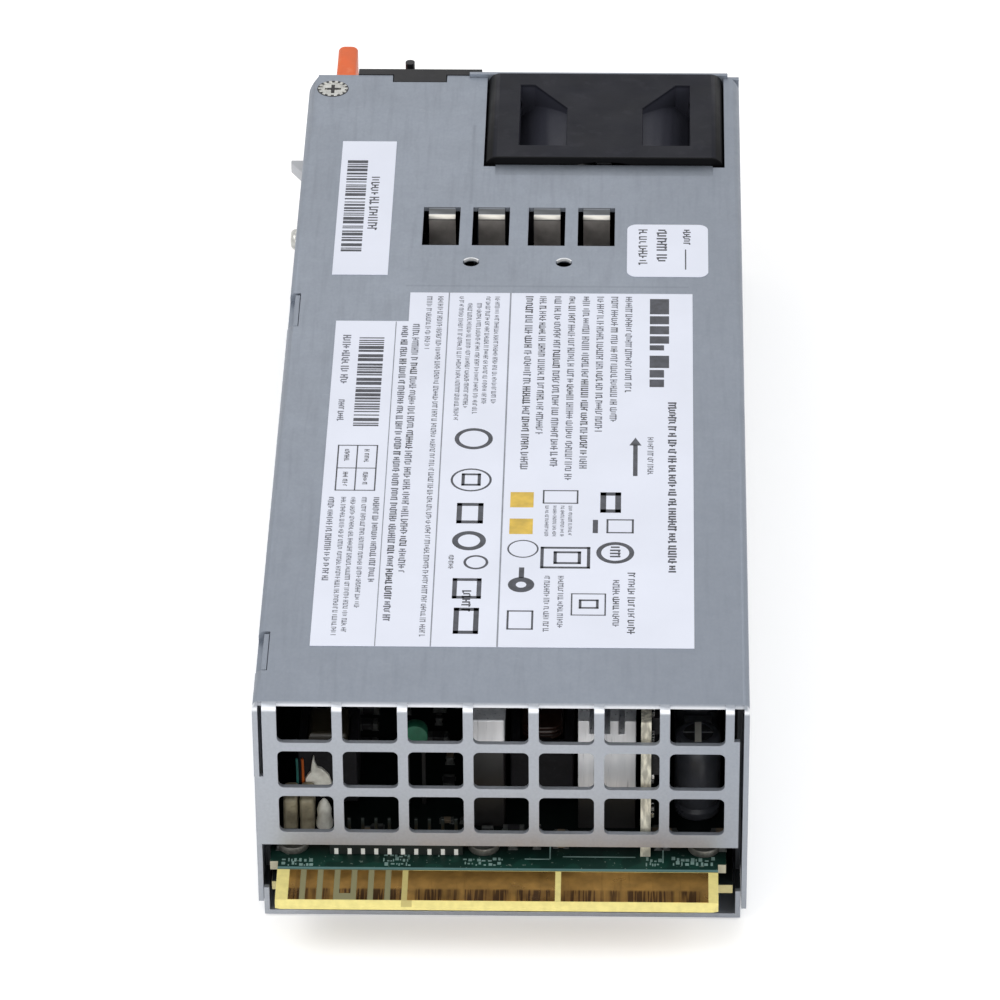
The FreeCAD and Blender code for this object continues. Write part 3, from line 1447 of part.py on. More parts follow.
def make_boards():
    """The main board with its card edge tongue, and the small board under it."""
    board = body("main_board")
    outline = sketch(board, "board_outline", "XY_Plane", "board_z")
    polygon(outline, [
        ("-board_left", "board_front"),
        ("-tongue_left", "board_front"),
        ("-tongue_left", "-tongue_reach + tongue_corner"),
        ("-tongue_left + tongue_corner", "-tongue_reach"),
        ("tongue_right - tongue_corner", "-tongue_reach"),
        ("tongue_right", "-tongue_reach + tongue_corner"),
        ("tongue_right", "board_front"),
        ("board_right", "board_front"),
        ("board_right", "board_end"),
        ("-board_left", "board_end"),
    ])
    pad(board, "board_sheet", outline, "board_thick")
    bevel = sketch(board, "tongue_bevel_outline", "YZ_Plane", "board_right + 1")
    run = "-tongue_reach + tongue_bevel_run"
    polygon(bevel, [
        ("-tongue_reach - 1", "board_top - tongue_bevel"),
        ("-tongue_reach", "board_top - tongue_bevel"),
        (run, "board_top"),
        (run, "board_top + 1"),
        ("-tongue_reach - 1", "board_top + 1"),
    ])
    polygon(bevel, [
        ("-tongue_reach - 1", "board_z - 1"),
        (run, "board_z - 1"),
        (run, "board_z"),
        ("-tongue_reach", "board_z + tongue_bevel"),
        ("-tongue_reach - 1", "board_z + tongue_bevel"),
    ])
    pocket(board, "tongue_bevel", bevel, "board_left + board_right + 2")
    holes = sketch(board, "board_holes_outline", "XY_Plane", "board_top + 1")
    for x, y in front_posts + back_posts:
        circle(holes, x, y, "post_hole")
    pocket(board, "board_holes", holes, "board_thick + 2")
    node(board, "main_board")

    lower = body("lower_board")
    outline = sketch(lower, "lower_outline", "XY_Plane", "lower_board_z")
    rectangle(outline, ("-tray_inner + lower_board_margin", "tray_inner - lower_board_margin"),
              ("tray_setback + lower_board_margin / 2", "lower_board_end"))
    pad(lower, "lower_sheet", outline, "board_thick")
    holes = sketch(lower, "lower_holes_outline", "XY_Plane", "lower_board_z + board_thick + 1")
    for x, y in front_posts:
        circle(holes, x, y, "post_hole")
    pocket(lower, "lower_holes", holes, "board_thick + 2")
    node(lower, "lower_board")

    film = box("insulator_sheet", ("-tray_inner + insulator_margin", "tray_inner - insulator_margin"),
               ("lower_board_end", "post_back_y - post_radius - insulator_margin"),
               ("sheet", "sheet + insulator_thick"))
    node(film, "insulator_sheet")


def make_contacts():
    """Gold pads on both faces of the tongue: a signal row and two wide power pads."""
    levels = (("board_top", "board_top + contact_thick"), ("board_z - contact_thick", "board_z"))
    signals = []
    powers = []
    root = "-contact_root"
    tip = "-tongue_reach + contact_tip"
    short = int(number("signal_count / 2"))
    for level in levels:
        for index in range(int(number("signal_count"))):
            middle = f"-contact_left + {index} * contact_pitch"
            end = f"{tip} + contact_short" if index == short else tip
            signals.append(box("signal_pad", (f"{middle} - contact_width / 2", f"{middle} + contact_width / 2"),
                               (end, root), level))
        for index in range(2):
            start = f"-contact_left + (signal_count + {index} * power_pitches) * contact_pitch"
            powers.append(box(
                "power_pad",
                (f"{start} - contact_width / 2",
                 f"{start} + (power_pitches - 1) * contact_pitch + contact_width / 2"),
                (tip, root),
                level,
            ))
    node(group("signal_contacts", signals), "signal_contacts")
    node(group("power_contacts", powers), "power_contacts")


def make_fixings():
    """Standoffs under both boards and the screws that hold the boards down."""
    posts = []
    screws = []
    for x, y in front_posts + back_posts:
        front = (x, y) in front_posts
        spans = [("sheet", "board_z")]
        if front:
            spans = [("sheet", "lower_board_z"), ("lower_board_z + board_thick", "board_z")]
        for low, high in spans:
            solid = rod("post_solid", "+Z", x, y, low, "post_radius", f"{high} - ({low})")
            hole = rod("post_bore", "+Z", x, y, f"{low} - 1", "post_hole", f"{high} - ({low}) + 2")
            posts.append(cut("post", solid, [hole]))
        head = rod("board_screw_disc", "+Z", x, y, "board_top", "board_screw_head", "board_screw_thick")
        stem = rod("board_screw_stem", "+Z", x, y, "sheet", "post_hole - axle_gap", "board_top - sheet")
        drive = rod("board_screw_drive", "+Z", x, y, "board_top + board_screw_thick / 2",
                    "board_screw_head / 2", "board_screw_thick")
        screws.append(cut("board_screw", fuse("board_screw_solid", [head, stem]), [drive]))
    node(group("board_posts", posts), "board_posts")
    node(group("board_screws", screws), "board_screws")


# ---------------------------------------------------------------------------
# Parts on the main board
# ---------------------------------------------------------------------------

def on_board(label, x, y, height):
    """A box that stands on the main board."""
    return box(label, x, y, ("board_top", f"board_top + {height}"))


def make_output_side():
    """Everything between the card edge and the main transformer."""
    length = "header_pins * header_pitch"
    strip = on_board("header_strip", ("-header_left", f"-header_left + {length}"),
                     ("header_y", "header_y + header_depth"), "header_height")
    header = [strip]
    for index in range(int(number("header_pins"))):
        x = f"-header_left + {index} * header_pitch + (header_pitch - header_pin) / 2"
        y = "header_y + (header_depth - header_pin) / 2"
        header.append(on_board("header_pin_solid", (x, f"{x} + header_pin"), (y, f"{y} + header_pin"),
                               "header_pin_height"))
    node(fuse("header_row", header), "header_row")

    control = on_board("control_board", ("control_x", "control_x + control_thick"),
                       ("control_y", "control_y + control_length"), "control_height")
    node(control, "control_board")
    face = "control_x + control_thick"
    chips = []
    for index in range(int(number("chip_count"))):
        y = f"control_y + chip_inset + {index} * chip_pitch"
        low = "board_top + chip_rise"
        chips.append(box("chip", (face, f"{face} + chip_thick"), (y, f"{y} + chip_width"),
                         (low, f"{low} + chip_height")))
    node(group("control_chips", chips), "control_chips")

    cans = []
    for index in range(int(number("can_count"))):
        cans.append(rod("can", "+Z", "can_x", f"can_y + {index} * can_pitch", "board_top", "can_radius",
                        "can_height"))
    node(group("output_capacitors", cans), "output_capacitors")
    terminal = on_board("output_terminal",
                        ("can_x - terminal_width / 2", "can_x + terminal_width / 2"),
                        ("terminal_y", "terminal_y + terminal_thick"), "terminal_height")
    node(terminal, "output_terminal")

    along = ("sink_y", "sink_y + sink_length")
    block = on_board("sink_block", ("sink_left", "sink_left + sink_width"), along, "sink_height")
    slots = []
    for index in range(int(number("sink_slots"))):
        middle = f"sink_left + sink_width * {index + 1} / (sink_slots + 1)"
        slots.append(box("sink_slot_solid", (f"{middle} - sink_slot / 2", f"{middle} + sink_slot / 2"),
                         ("sink_y - 1", "sink_y + sink_length + 1"),
                         ("board_top + sink_height - sink_slot_depth", "board_top + sink_height + 1")))
    node(cut("output_heatsink", block, slots), "output_heatsink")
    bar = on_board("rectifier_heatsink", ("bar_left", "bar_left + bar_width"), along, "sink_height")
    node(bar, "rectifier_heatsink")

    films = []
    for index in range(int(number("film_count"))):
        x = f"-film_left + {index} * film_pitch"
        films.append(on_board("film", (x, f"{x} + film_width"), ("film_y", "film_y + film_length"),
                              "film_height"))
    node(group("film_capacitors", films), "film_capacitors")

    disc = rod("disc", "+Y", "disc_x", "disc_y", "board_top + disc_rise", "disc_radius", "disc_thick")
    legs = [disc]
    for sign in ("-", "+"):
        x = f"disc_x {sign} disc_leg_half"
        y = "disc_y + disc_thick / 2"
        legs.append(on_board("disc_leg_solid", (f"{x} - disc_leg / 2", f"{x} + disc_leg / 2"),
                             (f"{y} - disc_leg / 2", f"{y} + disc_leg / 2"), "disc_rise"))
    node(fuse("thermistor", legs), "thermistor")


def wound(name, core_label, winding_label):
    """A ferrite core with a centre leg along Y and a coil round it."""
    x, y = (f"{name}_x", f"{name}_y")
    width, length, height = (f"{name}_width", f"{name}_length", f"{name}_height")
    wrap = f"coil_share * {height}"
    low = f"board_top + {wrap}"
    high = f"board_top + {height} - {wrap}"
    leg = f"leg_share * {width}"
    side = f"({width} / 2 - {leg})"
    yoke = f"yoke_share * {length}"
    window = (f"{y} + {yoke}", f"{y} + {length} - {yoke}")
    core = box("core_block", (f"{x} - {width} / 2", f"{x} + {width} / 2"), (y, f"{y} + {length}"),
               (low, high))
    windows = []
    for start, stop in ((f"{x} - {side}", f"{x} - {leg}"), (f"{x} + {leg}", f"{x} + {side}")):
        windows.append(box("core_window", (start, stop), window, (f"{low} - 1", f"{high} + 1")))
    node(cut(core_label, core, windows), core_label)
    coil_y = (f"{window[0]} + coil_gap", f"{window[1]} - coil_gap")
    coil = box("coil_block", (f"{x} - {side} + coil_gap", f"{x} + {side} - coil_gap"), coil_y,
               ("board_top", f"board_top + {height}"))
    hole = box("coil_hole", (f"{x} - {leg} - coil_gap", f"{x} + {leg} + coil_gap"),
               (f"{window[0]} - 1", f"{window[1]} + 1"), (low, high))
    node(cut(winding_label, coil, [hole]), winding_label)


def make_mains_side():
    """Everything between the main transformer and the fan."""
    plate = on_board("primary_heatsink", ("primary_x", "primary_x + primary_thick"),
                     ("primary_y", "primary_y + primary_length"), "primary_height")
    node(plate, "primary_heatsink")
    packs = []
    for index in range(int(number("transistor_count"))):
        y = f"primary_y + {index} * transistor_pitch"
        low = "board_top + transistor_rise"
        pack = box("transistor_block", ("primary_x - transistor_thick", "primary_x"),
                   (y, f"{y} + transistor_width"), (low, f"{low} + transistor_height"))
        legs = [pack]
        for share in (0.25, 0.5, 0.75):
            middle = f"{y} + transistor_width * {share}"
            legs.append(on_board("transistor_leg", ("primary_x - transistor_thick * 0.6",
                                                    "primary_x - transistor_thick * 0.4"),
                                 (f"{middle} - disc_leg", f"{middle} + disc_leg"), "transistor_rise"))
        packs.append(fuse("transistor", legs))
    node(group("power_transistors", packs), "power_transistors")

    cans = []
    for index in range(int(number("bulk_count"))):
        x = f"bulk_x + {index} * bulk_pitch"
        z = "board_top + bulk_rise + bulk_radius"
        can = [rod("bulk_can", "+Y", x, "bulk_y", z, "bulk_radius", "bulk_length")]
        for sign in ("-", "+"):
            middle = f"{x} {sign} bulk_lead_half"
            across = (f"{middle} - bulk_lead / 2", f"{middle} + bulk_lead / 2")
            can.append(box("bulk_lead_out", across, ("bulk_y - bulk_lead_reach", "bulk_y"),
                           (f"{z} - bulk_lead / 2", f"{z} + bulk_lead / 2")))
            can.append(box("bulk_lead_down", across,
                           ("bulk_y - bulk_lead_reach", "bulk_y - bulk_lead_reach + bulk_lead"),
                           ("board_top", z)))
        cans.append(fuse("bulk_capacitor", can))
    node(group("bulk_capacitors", cans), "bulk_capacitors")

    bridge = on_board("bridge_rectifier", ("bridge_x", "bridge_x + bridge_thick"),
                      ("bridge_y", "bridge_y + bridge_width"), "bridge_height")
    node(bridge, "bridge_rectifier")
    blocks = []
    for index in range(int(number("block_count"))):
        x = f"block_left + {index} * block_pitch"
        blocks.append(on_board("block", (x, f"{x} + block_width"), ("block_y", "block_y + block_length"),
                               "block_height"))
    node(group("filter_capacitors", blocks), "filter_capacitors")
    relay = on_board("relay", ("relay_left", "relay_left + block_width"),
                     ("block_y", "block_y + block_length"), "relay_height")
    node(relay, "relay")
    fuse_body = on_board("fuse", ("-fuse_left", "-fuse_left + fuse_width"),
                         ("block_y", "block_y + fuse_length"), "fuse_height")
    node(fuse_body, "fuse")


def make_wiring():
    """Fan plug and leads, mains leads from the inlet, and the status lamp."""
    plug = on_board("fan_plug", ("plug_left", "plug_left + plug_width"),
                    ("plug_y", "plug_y + plug_length"), "plug_height")
    node(plug, "fan_plug")
    leads = []
    start_y = "plug_y + plug_length"
    for row in range(int(number("lead_rows"))):
        z = f"lead_low + {row} * lead_pitch"
        for column in range(2):
            x = f"plug_left + plug_width / 2 + {column} * lead_pitch"
            turn = f"{start_y} + lead_turn + {1 - column} * lead_pitch"
            end = f"fan_right - lead_margin - lead_radius - {1 - column} * lead_pitch"
            leads.append(round_tube(
                "fan_lead",
                [(x, start_y, z), (x, turn, z), (end, turn, z), (end, "fan_front", z)],
                "lead_radius",
                "lead_bend",
            ))
    node(group("fan_leads", leads), "fan_leads")

    ends = [
        ("inlet_x - blade_offset", "inlet_z - blade_spread", "0"),
        ("inlet_x - blade_offset", "inlet_z + blade_spread", "mains_spread"),
        ("inlet_x + blade_offset", "inlet_z", "0"),
    ]
    back = "bezel_front - inlet_depth - terminal_reach"
    mains = []
    for x, z, shift in ends:
        foot = f"{x} - {shift}"
        points = [(x, back, z)]
        if shift != "0":
            points.append((x, f"{back} - mains_bend - 0.5", z))
        points.extend([(foot, "mains_foot_y", z), (foot, "mains_foot_y", "board_top")])
        mains.append(round_tube("mains_lead_wire", points, "mains_lead", "mains_bend"))
    node(group("inlet_leads", mains), "inlet_leads")

    lamp = rod("status_lamp", "+Y", "lamp_x", "case_length + lamp_proud - lamp_length", "lamp_z",
               "lamp_radius - axle_gap", "lamp_length")
    node(lamp, "status_lamp")


# ---------------------------------------------------------------------------
# Labels
# ---------------------------------------------------------------------------

def make_labels():
    """Printed labels on the top of the cover."""
    rating = body("rating_label")
    outline = sketch(rating, "rating_outline", "XY_Plane", "case_height")
    polygon(outline, [
        ("-rating_left", "rating_foot"),
        ("rating_right", "rating_foot"),
        ("rating_right", "rating_top"),
        ("rating_step_x", "rating_top"),
        ("rating_step_x", "rating_step_y"),
        ("-rating_left", "rating_step_y"),
    ])
    pad(rating, "rating_sheet", outline, "label_thick")
    node(rating, "rating_label")
    serial = box("serial_label", ("-serial_left", "-serial_left + serial_width"),
                 ("serial_foot", "serial_foot + serial_length"),
                 ("case_height", "case_height + label_thick"))
    node(serial, "serial_label")
    seal = body("seal_label")
    outline = sketch(seal, "seal_outline", "XY_Plane", "case_height")
    rounded(outline, ("seal_left", "seal_left + seal_width"), ("seal_foot", "seal_foot + seal_length"),
            "seal_corner")
    pad(seal, "seal_sheet", outline, "label_thick")
    node(seal, "seal_label")


# ---------------------------------------------------------------------------
# Build, check and export
# ---------------------------------------------------------------------------

post_left = "-board_left + post_inset"
post_right = "board_right - post_inset"
front_posts = [(x, "post_front_y") for x in (post_left, "post_middle_x", post_right)]
back_posts = [(post_left, "post_back_y"), (post_right, "post_back_y")]

make_tray()
make_cover()
make_end_plate()
make_cover_screw()
make_side_button()
make_fan_frame()
make_fan_motor()
make_fan_rotor()
make_fan_guard()
make_fan_screws()
make_inlet()
make_bezel()
make_bail()
make_latch()
make_boards()
make_contacts()
make_fixings()
make_output_side()
wound("choke", "output_choke_core", "output_choke_winding")
wound("standby", "standby_core", "standby_winding")
wound("main", "transformer_core", "transformer_winding")
wound("boost", "boost_choke_core", "boost_choke_winding")
wound("filter", "filter_choke_core", "filter_choke_winding")
make_mains_side()
make_wiring()
make_labels()
doc.recompute()

for item in doc.Objects:
    if "Invalid" in item.State or "Error" in item.State:
        raise RuntimeError(f"{item.Label} did not build: {item.State}")

os.makedirs("parts", exist_ok=True)
for item in nodes:
    shape = item.Shape
    if shape.isNull() or not shape.isValid():
        raise RuntimeError(f"{item.Label} has no valid shape")
    shape.exportStep(f"parts/{item.Label}.step")
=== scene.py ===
"""Looks of a hot swap server power supply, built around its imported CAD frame."""

import json
import random
from math import cos, pi, radians, sin, sqrt, tau

import bmesh
import bpy
from mathutils import Matrix, Vector


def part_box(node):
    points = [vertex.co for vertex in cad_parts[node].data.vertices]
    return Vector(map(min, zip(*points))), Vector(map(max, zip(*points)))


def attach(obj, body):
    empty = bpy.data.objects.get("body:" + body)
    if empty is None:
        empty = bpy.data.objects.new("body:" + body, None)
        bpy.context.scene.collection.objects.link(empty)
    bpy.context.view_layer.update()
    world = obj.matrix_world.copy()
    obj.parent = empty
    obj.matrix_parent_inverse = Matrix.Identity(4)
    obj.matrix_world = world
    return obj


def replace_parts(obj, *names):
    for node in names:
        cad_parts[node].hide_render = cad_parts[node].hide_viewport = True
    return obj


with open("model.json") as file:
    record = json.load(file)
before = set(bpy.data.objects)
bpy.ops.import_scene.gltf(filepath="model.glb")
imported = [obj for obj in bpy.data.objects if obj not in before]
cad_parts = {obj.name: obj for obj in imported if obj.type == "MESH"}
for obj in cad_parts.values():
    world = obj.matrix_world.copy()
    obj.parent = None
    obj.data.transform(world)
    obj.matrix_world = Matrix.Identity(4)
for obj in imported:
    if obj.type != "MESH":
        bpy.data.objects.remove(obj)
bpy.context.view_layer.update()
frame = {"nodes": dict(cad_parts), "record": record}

MM = 0.001
nodes = frame["nodes"]


def mm_box(name):
    """Lowest and highest corner of a CAD node, in millimetres."""
    low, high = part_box(name)
    return low / MM, high / MM


cover_low, cover_high = mm_box("cover")
fan_low, fan_high = mm_box("fan_frame")
rotor_low, rotor_high = mm_box("fan_rotor")
label_low, label_high = mm_box("rating_label")

FAN_X = (fan_low.x + fan_high.x) / 2
FAN_Z = (fan_low.z + fan_high.z) / 2
FAN_HALF = (fan_high.x - fan_low.x) / 2
FAN_HOLE = FAN_HALF - 4  # from the axle to the corner holes, along each side
CORNERS = ((-1, -1), (-1, 1), (1, -1), (1, 1))
BOARD_TOP = mm_box("main_board")[1].z


# Materials

def linear(colour):
    """A 0 to 255 display colour as the linear values that a shader takes."""
    shares = [part / 255 for part in colour]
    return (*[v / 12.92 if v <= 0.04045 else ((v + 0.055) / 1.055) ** 2.4 for v in shares], 1)


paints = {}


def toned(colour, factor):
    return tuple(min(255, part * factor) for part in colour)


class Nodes:
    """Adds nodes to a shader tree."""

    def __init__(self, tree):
        self.tree = tree

    def feed(self, socket, value):
        if isinstance(value, bpy.types.NodeSocket):
            self.tree.links.new(value, socket)
        else:
            socket.default_value = value

    def add(self, kind, feeds=None, **settings):
        """A node with these settings, fed by input name or number."""
        node = self.tree.nodes.new(kind)
        for key, value in settings.items():
            setattr(node, key, value)
        for key, value in (feeds or {}).items():
            self.feed(node.inputs[key], value)
        return node

    def math(self, operation, value, *others):
        """An operation on one value, or with each further one in turn."""
        for other in others or (0,):
            value = self.add("ShaderNodeMath", {0: value, 1: other}, operation=operation).outputs["Value"]
        return value

    def times(self, *values):
        return self.math("MULTIPLY", *values)

    def span(self, value, low, high, start=0, end=1, smooth=False):
        """From start to end as a value goes from low to high."""
        feeds = {"Value": value, "From Min": low, "From Max": high, "To Min": start, "To Max": end}
        kind = "SMOOTHSTEP" if smooth else "LINEAR"
        return self.add("ShaderNodeMapRange", feeds, interpolation_type=kind).outputs["Result"]

    def rays(self, *kinds):
        """1 for rays of these kinds, 0 for others."""
        path = self.add("ShaderNodeLightPath").outputs
        return self.math("MAXIMUM", *[path[f"Is {kind} Ray"] for kind in kinds])


class Paint(Nodes):
    """One procedural material, worked out in the frame's own coordinates."""

    def __init__(self, name, rough, metal=0, coat=0, gloss=0.5):
        self.name = name
        self.material = bpy.data.materials.new(f"{name}_finish")
        self.material.use_nodes = True
        super().__init__(self.material.node_tree)
        self.shader = self.tree.nodes["Principled BSDF"].inputs
        for key, value in (("Metallic", metal), ("Roughness", rough), ("Coat Weight", coat),
                           ("Coat Roughness", 0.25), ("Specular IOR Level", gloss)):
            self.shader[key].default_value = value
        self.rough = rough
        self.place = self.add("ShaderNodeTexCoord").outputs["Object"]
        self.axes = self.add("ShaderNodeSeparateXYZ", {"Vector": self.place}).outputs
        self.tone = None

    def noise(self, size, detail=3, stretch=None):
        """Noise with features about this many millimetres across."""
        place = self.place
        if stretch:
            place = self.add("ShaderNodeMapping", {"Vector": place, "Scale": stretch}).outputs["Vector"]
        feeds = {"Vector": place, "Scale": 1 / (size * MM), "Detail": detail}
        return self.add("ShaderNodeTexNoise", feeds).outputs["Fac"]

    def cloud(self, size, low, high, most=1, detail=3, stretch=None):
        """Noise as a mask: 0 below low, most above high."""
        return self.span(self.noise(size, detail, stretch), low, high, 0, most)

    def ramp(self, axis, low, high, start=0, end=1, smooth=False):
        """The span of a coordinate, in millimetres."""
        return self.span(self.axes[axis], low * MM, high * MM, start, end, smooth)

    def band(self, axis, low, high, edge=0.1):
        """1 where a coordinate lies from low to high millimetres."""
        rise = self.ramp(axis, low - edge, low + edge)
        return self.times(rise, self.ramp(axis, high - edge, high + edge, 1, 0))

    def below(self, axis, height):
        """1 where a coordinate is below this many millimetres."""
        return self.math("LESS_THAN", self.axes[axis], height * MM)

    def area(self, **bands):
        """1 where every named axis is inside its band."""
        return self.times(*[self.band(axis, *limits) for axis, limits in bands.items()])

    def away(self, value, millimetres):
        """How far a coordinate is from a place, either way."""
        return self.math("ABSOLUTE", self.math("SUBTRACT", value, millimetres * MM))

    def facing(self, axis):
        """1 on faces that look along an axis, either way."""
        normal = self.add("ShaderNodeNewGeometry").outputs["Normal"]
        along = self.add("ShaderNodeSeparateXYZ", {"Vector": normal}).outputs[axis]
        return self.math("GREATER_THAN", self.math("ABSOLUTE", along), 0.5)

    def mix(self, factor, first, second):
        """A colour between two sockets or colours."""
        node = self.add("ShaderNodeMix", {0: factor}, data_type="RGBA")
        colours = [socket for socket in node.inputs if socket.type == "RGBA"]
        for socket, value in zip(colours, (first, second)):
            self.feed(socket, linear(value) if isinstance(value, tuple) else value)
        return next(socket for socket in node.outputs if socket.type == "RGBA")

    def lay(self, colour, mask, *others):
        """Lays a colour over the tone through the product of the masks."""
        if others:
            mask = self.times(mask, *others)
        self.tone = self.mix(mask, self.tone, colour)

    def finish(self, bumps, rough_noise=None, rough_swing=0.08):
        """The tone, a patchy roughness and a stack of bumps given as (height, depth in mm)."""
        self.feed(self.shader["Base Color"], self.tone)
        low = max(0.04, self.rough - rough_swing)
        rough = self.span(rough_noise or self.noise(6), 0.3, 0.7, low, self.rough + rough_swing)
        self.feed(self.shader["Roughness"], rough)
        normal = None
        for height, depth in bumps:
            bump = self.add("ShaderNodeBump", {"Height": height, "Distance": depth * MM, "Strength": 1})
            if normal:
                self.feed(bump.inputs["Normal"], normal)
            normal = bump.outputs["Normal"]
        self.feed(self.shader["Normal"], normal)
        paints[self.name] = self.material


def plain(name, colour, rough, metal=0, patch=5, swing=0.07, grain=0.35, depth=0.01,
          stretch=None, coat=0, dust=None, gloss=0.5):
    """Soft patches, a fine grain and maybe dust."""
    paint = Paint(name, rough, metal, coat, gloss)
    patches = paint.cloud(patch, 0.3, 0.7, detail=4, stretch=stretch)
    paint.tone = paint.mix(patches, toned(colour, 1 - swing), toned(colour, 1 + swing))
    if dust:
        paint.lay(dust, paint.cloud(patch / 3, 0.56, 0.72, 0.5, 6))
    paint.finish([(paint.noise(grain, 2, stretch), depth)])


def print_ink(name, colour, patch=2, swing=0.08):
    plain(name, colour, 0.5, patch=patch, swing=swing, grain=0.2, depth=0.002)


def galvanised():
    """Zinc coated sheet with spangle, streaks, scuffs and two faint creases, with painted light and shade on
    its front, folds, inside and round the fan.
    """
    base = (145, 152, 163)
    shade_tone = (124, 131, 142)
    top = cover_high.z
    window = cover_high.y - 42.7  # far edge of the four lanced windows
    paint = Paint("galvanised_steel", 0.46, 0.6)
    cells = paint.add("ShaderNodeTexVoronoi", {"Vector": paint.place, "Scale": 1 / (2.6 * MM)})
    level = paint.add("ShaderNodeSeparateColor", {"Color": cells.outputs["Color"]}).outputs["Red"]
    spangle = paint.math("ADD", paint.times(level, 0.2), paint.times(paint.noise(9, 5), 1.1))
    paint.tone = paint.mix(paint.span(spangle, 0.25, 1.05), toned(base, 0.965), toned(base, 1.035))
    paint.lay((122, 128, 138), paint.cloud(1, 0.50, 0.72, 0.34, 4, (1, 0.07, 1)))
    paint.lay((124, 130, 140), paint.cloud(17, 0.55, 0.8, 0.22))
    paint.lay((190, 195, 202), paint.cloud(0.9, 0.68, 0.76, 0.12, 5, (0.3, 1, 1)))
    # Painted light: the front face, up to 1.3 mm deep in Y, is painted paler.
    front = paint.ramp("Y", 0.9, 1.3, 1, 0)
    paint.lay((212, 214, 218), front, 0.55)
    # Painted shade: the top is painted darker towards +X, and towards the front end up to Y 95 mm.
    paint.lay(shade_tone, paint.ramp("X", 8, 34, 0, 0.4, smooth=True))
    paint.lay(shade_tone, paint.ramp("Y", 15, 95, 0.38, 0, smooth=True))
    paint.lay((112, 118, 128), paint.cloud(0.45, 0.3, 0.7, stretch=(1, 0.6, 1)), 0.16)
    # Two creases, one across above the label and one along Y, are bumped and also painted darker as shade.
    across = paint.area(X=(-18, 28), Y=(116.6, 117, 0.2))
    shaded_creases = paint.math("ADD", across, paint.area(X=(-8.3, -7.9, 0.25), Y=(142.5, 168)))
    paint.lay((92, 98, 108), shaded_creases, 0.26)
    # Painted highlight along the top bend of the front face.
    paint.lay((240, 242, 246), paint.band("Z", top - 1, top - 0.3, 0.2), front, 0.8)
    # Painted shade: the inside faces of the case are painted near black.
    inside = paint.area(X=(cover_low.x + 0.95, cover_high.x - 0.95, 0.05), Z=(0.9, top - 1.05, 0.05),
                        Y=(cover_low.y + 1.1, cover_high.y - 0.5))
    paint.lay((30, 31, 34), inside, 0.9)
    # The window tabs: painted shade where each bend leaves the top, a painted highlight along the bend, and a
    # flat brown below it, painted for the shade on the downturned faces.
    baffle = paint.area(Y=(window - 1.9, window - 0.05, 0.03), X=(-16, 16))
    shaded_brown = paint.mix(paint.cloud(1.4, 0.3, 0.7), (170, 164, 159), (190, 184, 179))
    paint.lay(shaded_brown, baffle, paint.band("Z", top - 19, top - 1.5, 0.08))
    paint.lay((222, 218, 209), baffle, paint.band("Z", top - 1.35, top - 0.6, 0.08))
    paint.lay((86, 88, 90), baffle, paint.band("Z", top - 0.55, top - 0.03, 0.03))
    # Painted shade on the sheet in front of the fan, darkest at the fan's front edge.
    paint.lay((92, 100, 108), paint.ramp("Y", fan_low.y - 5.5, fan_low.y - 0.5, smooth=True),
              paint.band("X", fan_low.x + 2.5, fan_high.x - 2.5, 1),
              paint.ramp("Y", fan_low.y, fan_low.y + 1, 0.45, 0))
    # Painted shade: a dark line on the top along the far edge of each window, over its tab's fold.
    lanes = paint.away(paint.away(paint.math("ABSOLUTE", paint.axes["X"]), 8.7), 4.1)
    paint.lay((70, 72, 76), paint.area(X=(-16, 16), Y=(window - 0.28, window - 0.02, 0.05)),
              paint.math("LESS_THAN", lanes, 2.3 * MM),
              paint.math("GREATER_THAN", paint.axes["Z"], (top - 0.3) * MM))
    height = paint.math("SUBTRACT", paint.noise(0.5), shaded_creases)
    paint.finish([(paint.noise(2.6), 0.006), (height, 0.008)], paint.noise(3), 0.05)


def board(name, mask, bare, tongue=False):
    """Solder mask over fibre board, with painted shade over it inside the case, bare on its edges and a
    tongue.
    """
    paint = Paint(name, 0.5, gloss=0.2)
    copper = paint.cloud(5, 0.50, 0.54, detail=1)
    paint.tone = paint.mix(copper, mask, toned(mask, 1.25))
    paint.lay((96, 112, 104), paint.math("GREATER_THAN", paint.noise(0.55, 1), 0.72))
    # Painted shade: past 4 mm into the case the mask is painted at a quarter of its tone.
    paint.lay(toned(mask, 0.25), paint.ramp("Y", 1.5, 4))
    weave = paint.mix(paint.cloud(1.2, 0.35, 0.65), toned(bare, 0.95), bare)
    if tongue:
        low, high = mm_box("signal_contacts")
        end = high.y + 0.15
        gaps = paint.area(X=(low.x, high.x, 0.03), Y=(low.y, end, 0.03))
        fibre = paint.mix(gaps, weave, (138, 134, 100))
        beside = paint.times(paint.band("X", high.x, high.x + 1.6, 0.03), 0.7)
        fibre = paint.mix(beside, fibre, (176, 162, 104))
        reach = paint.ramp("Y", end - 0.05, end + 0.05, 1, 0)
        paint.lay(fibre, reach)
        paint.lay((98, 132, 130), paint.band("Y", end + 0.1, end + 0.65, 0.06))
        weave = paint.mix(reach, (176, 172, 152), weave)
    paint.tone = paint.mix(paint.facing("Z"), weave, paint.tone)
    paint.finish([(copper, 0.015), (paint.noise(0.4), 0.006)])


def upright_board():
    """Dark mask on the two faces of a board on edge, bare fibre along its edges."""
    mask = (14, 34, 29)
    bare = (226, 222, 204)
    paint = Paint("upright_board", 0.5, gloss=0.2)
    faces = paint.mix(paint.cloud(5, 0.50, 0.54, detail=1), mask, toned(mask, 1.25))
    weave = paint.mix(paint.cloud(0.7, 0.4, 0.62, 1, 4, (1, 1, 0.3)), toned(bare, 0.72), bare)
    paint.tone = paint.mix(paint.facing("X"), weave, faces)
    paint.finish([(paint.noise(0.4), 0.01)])


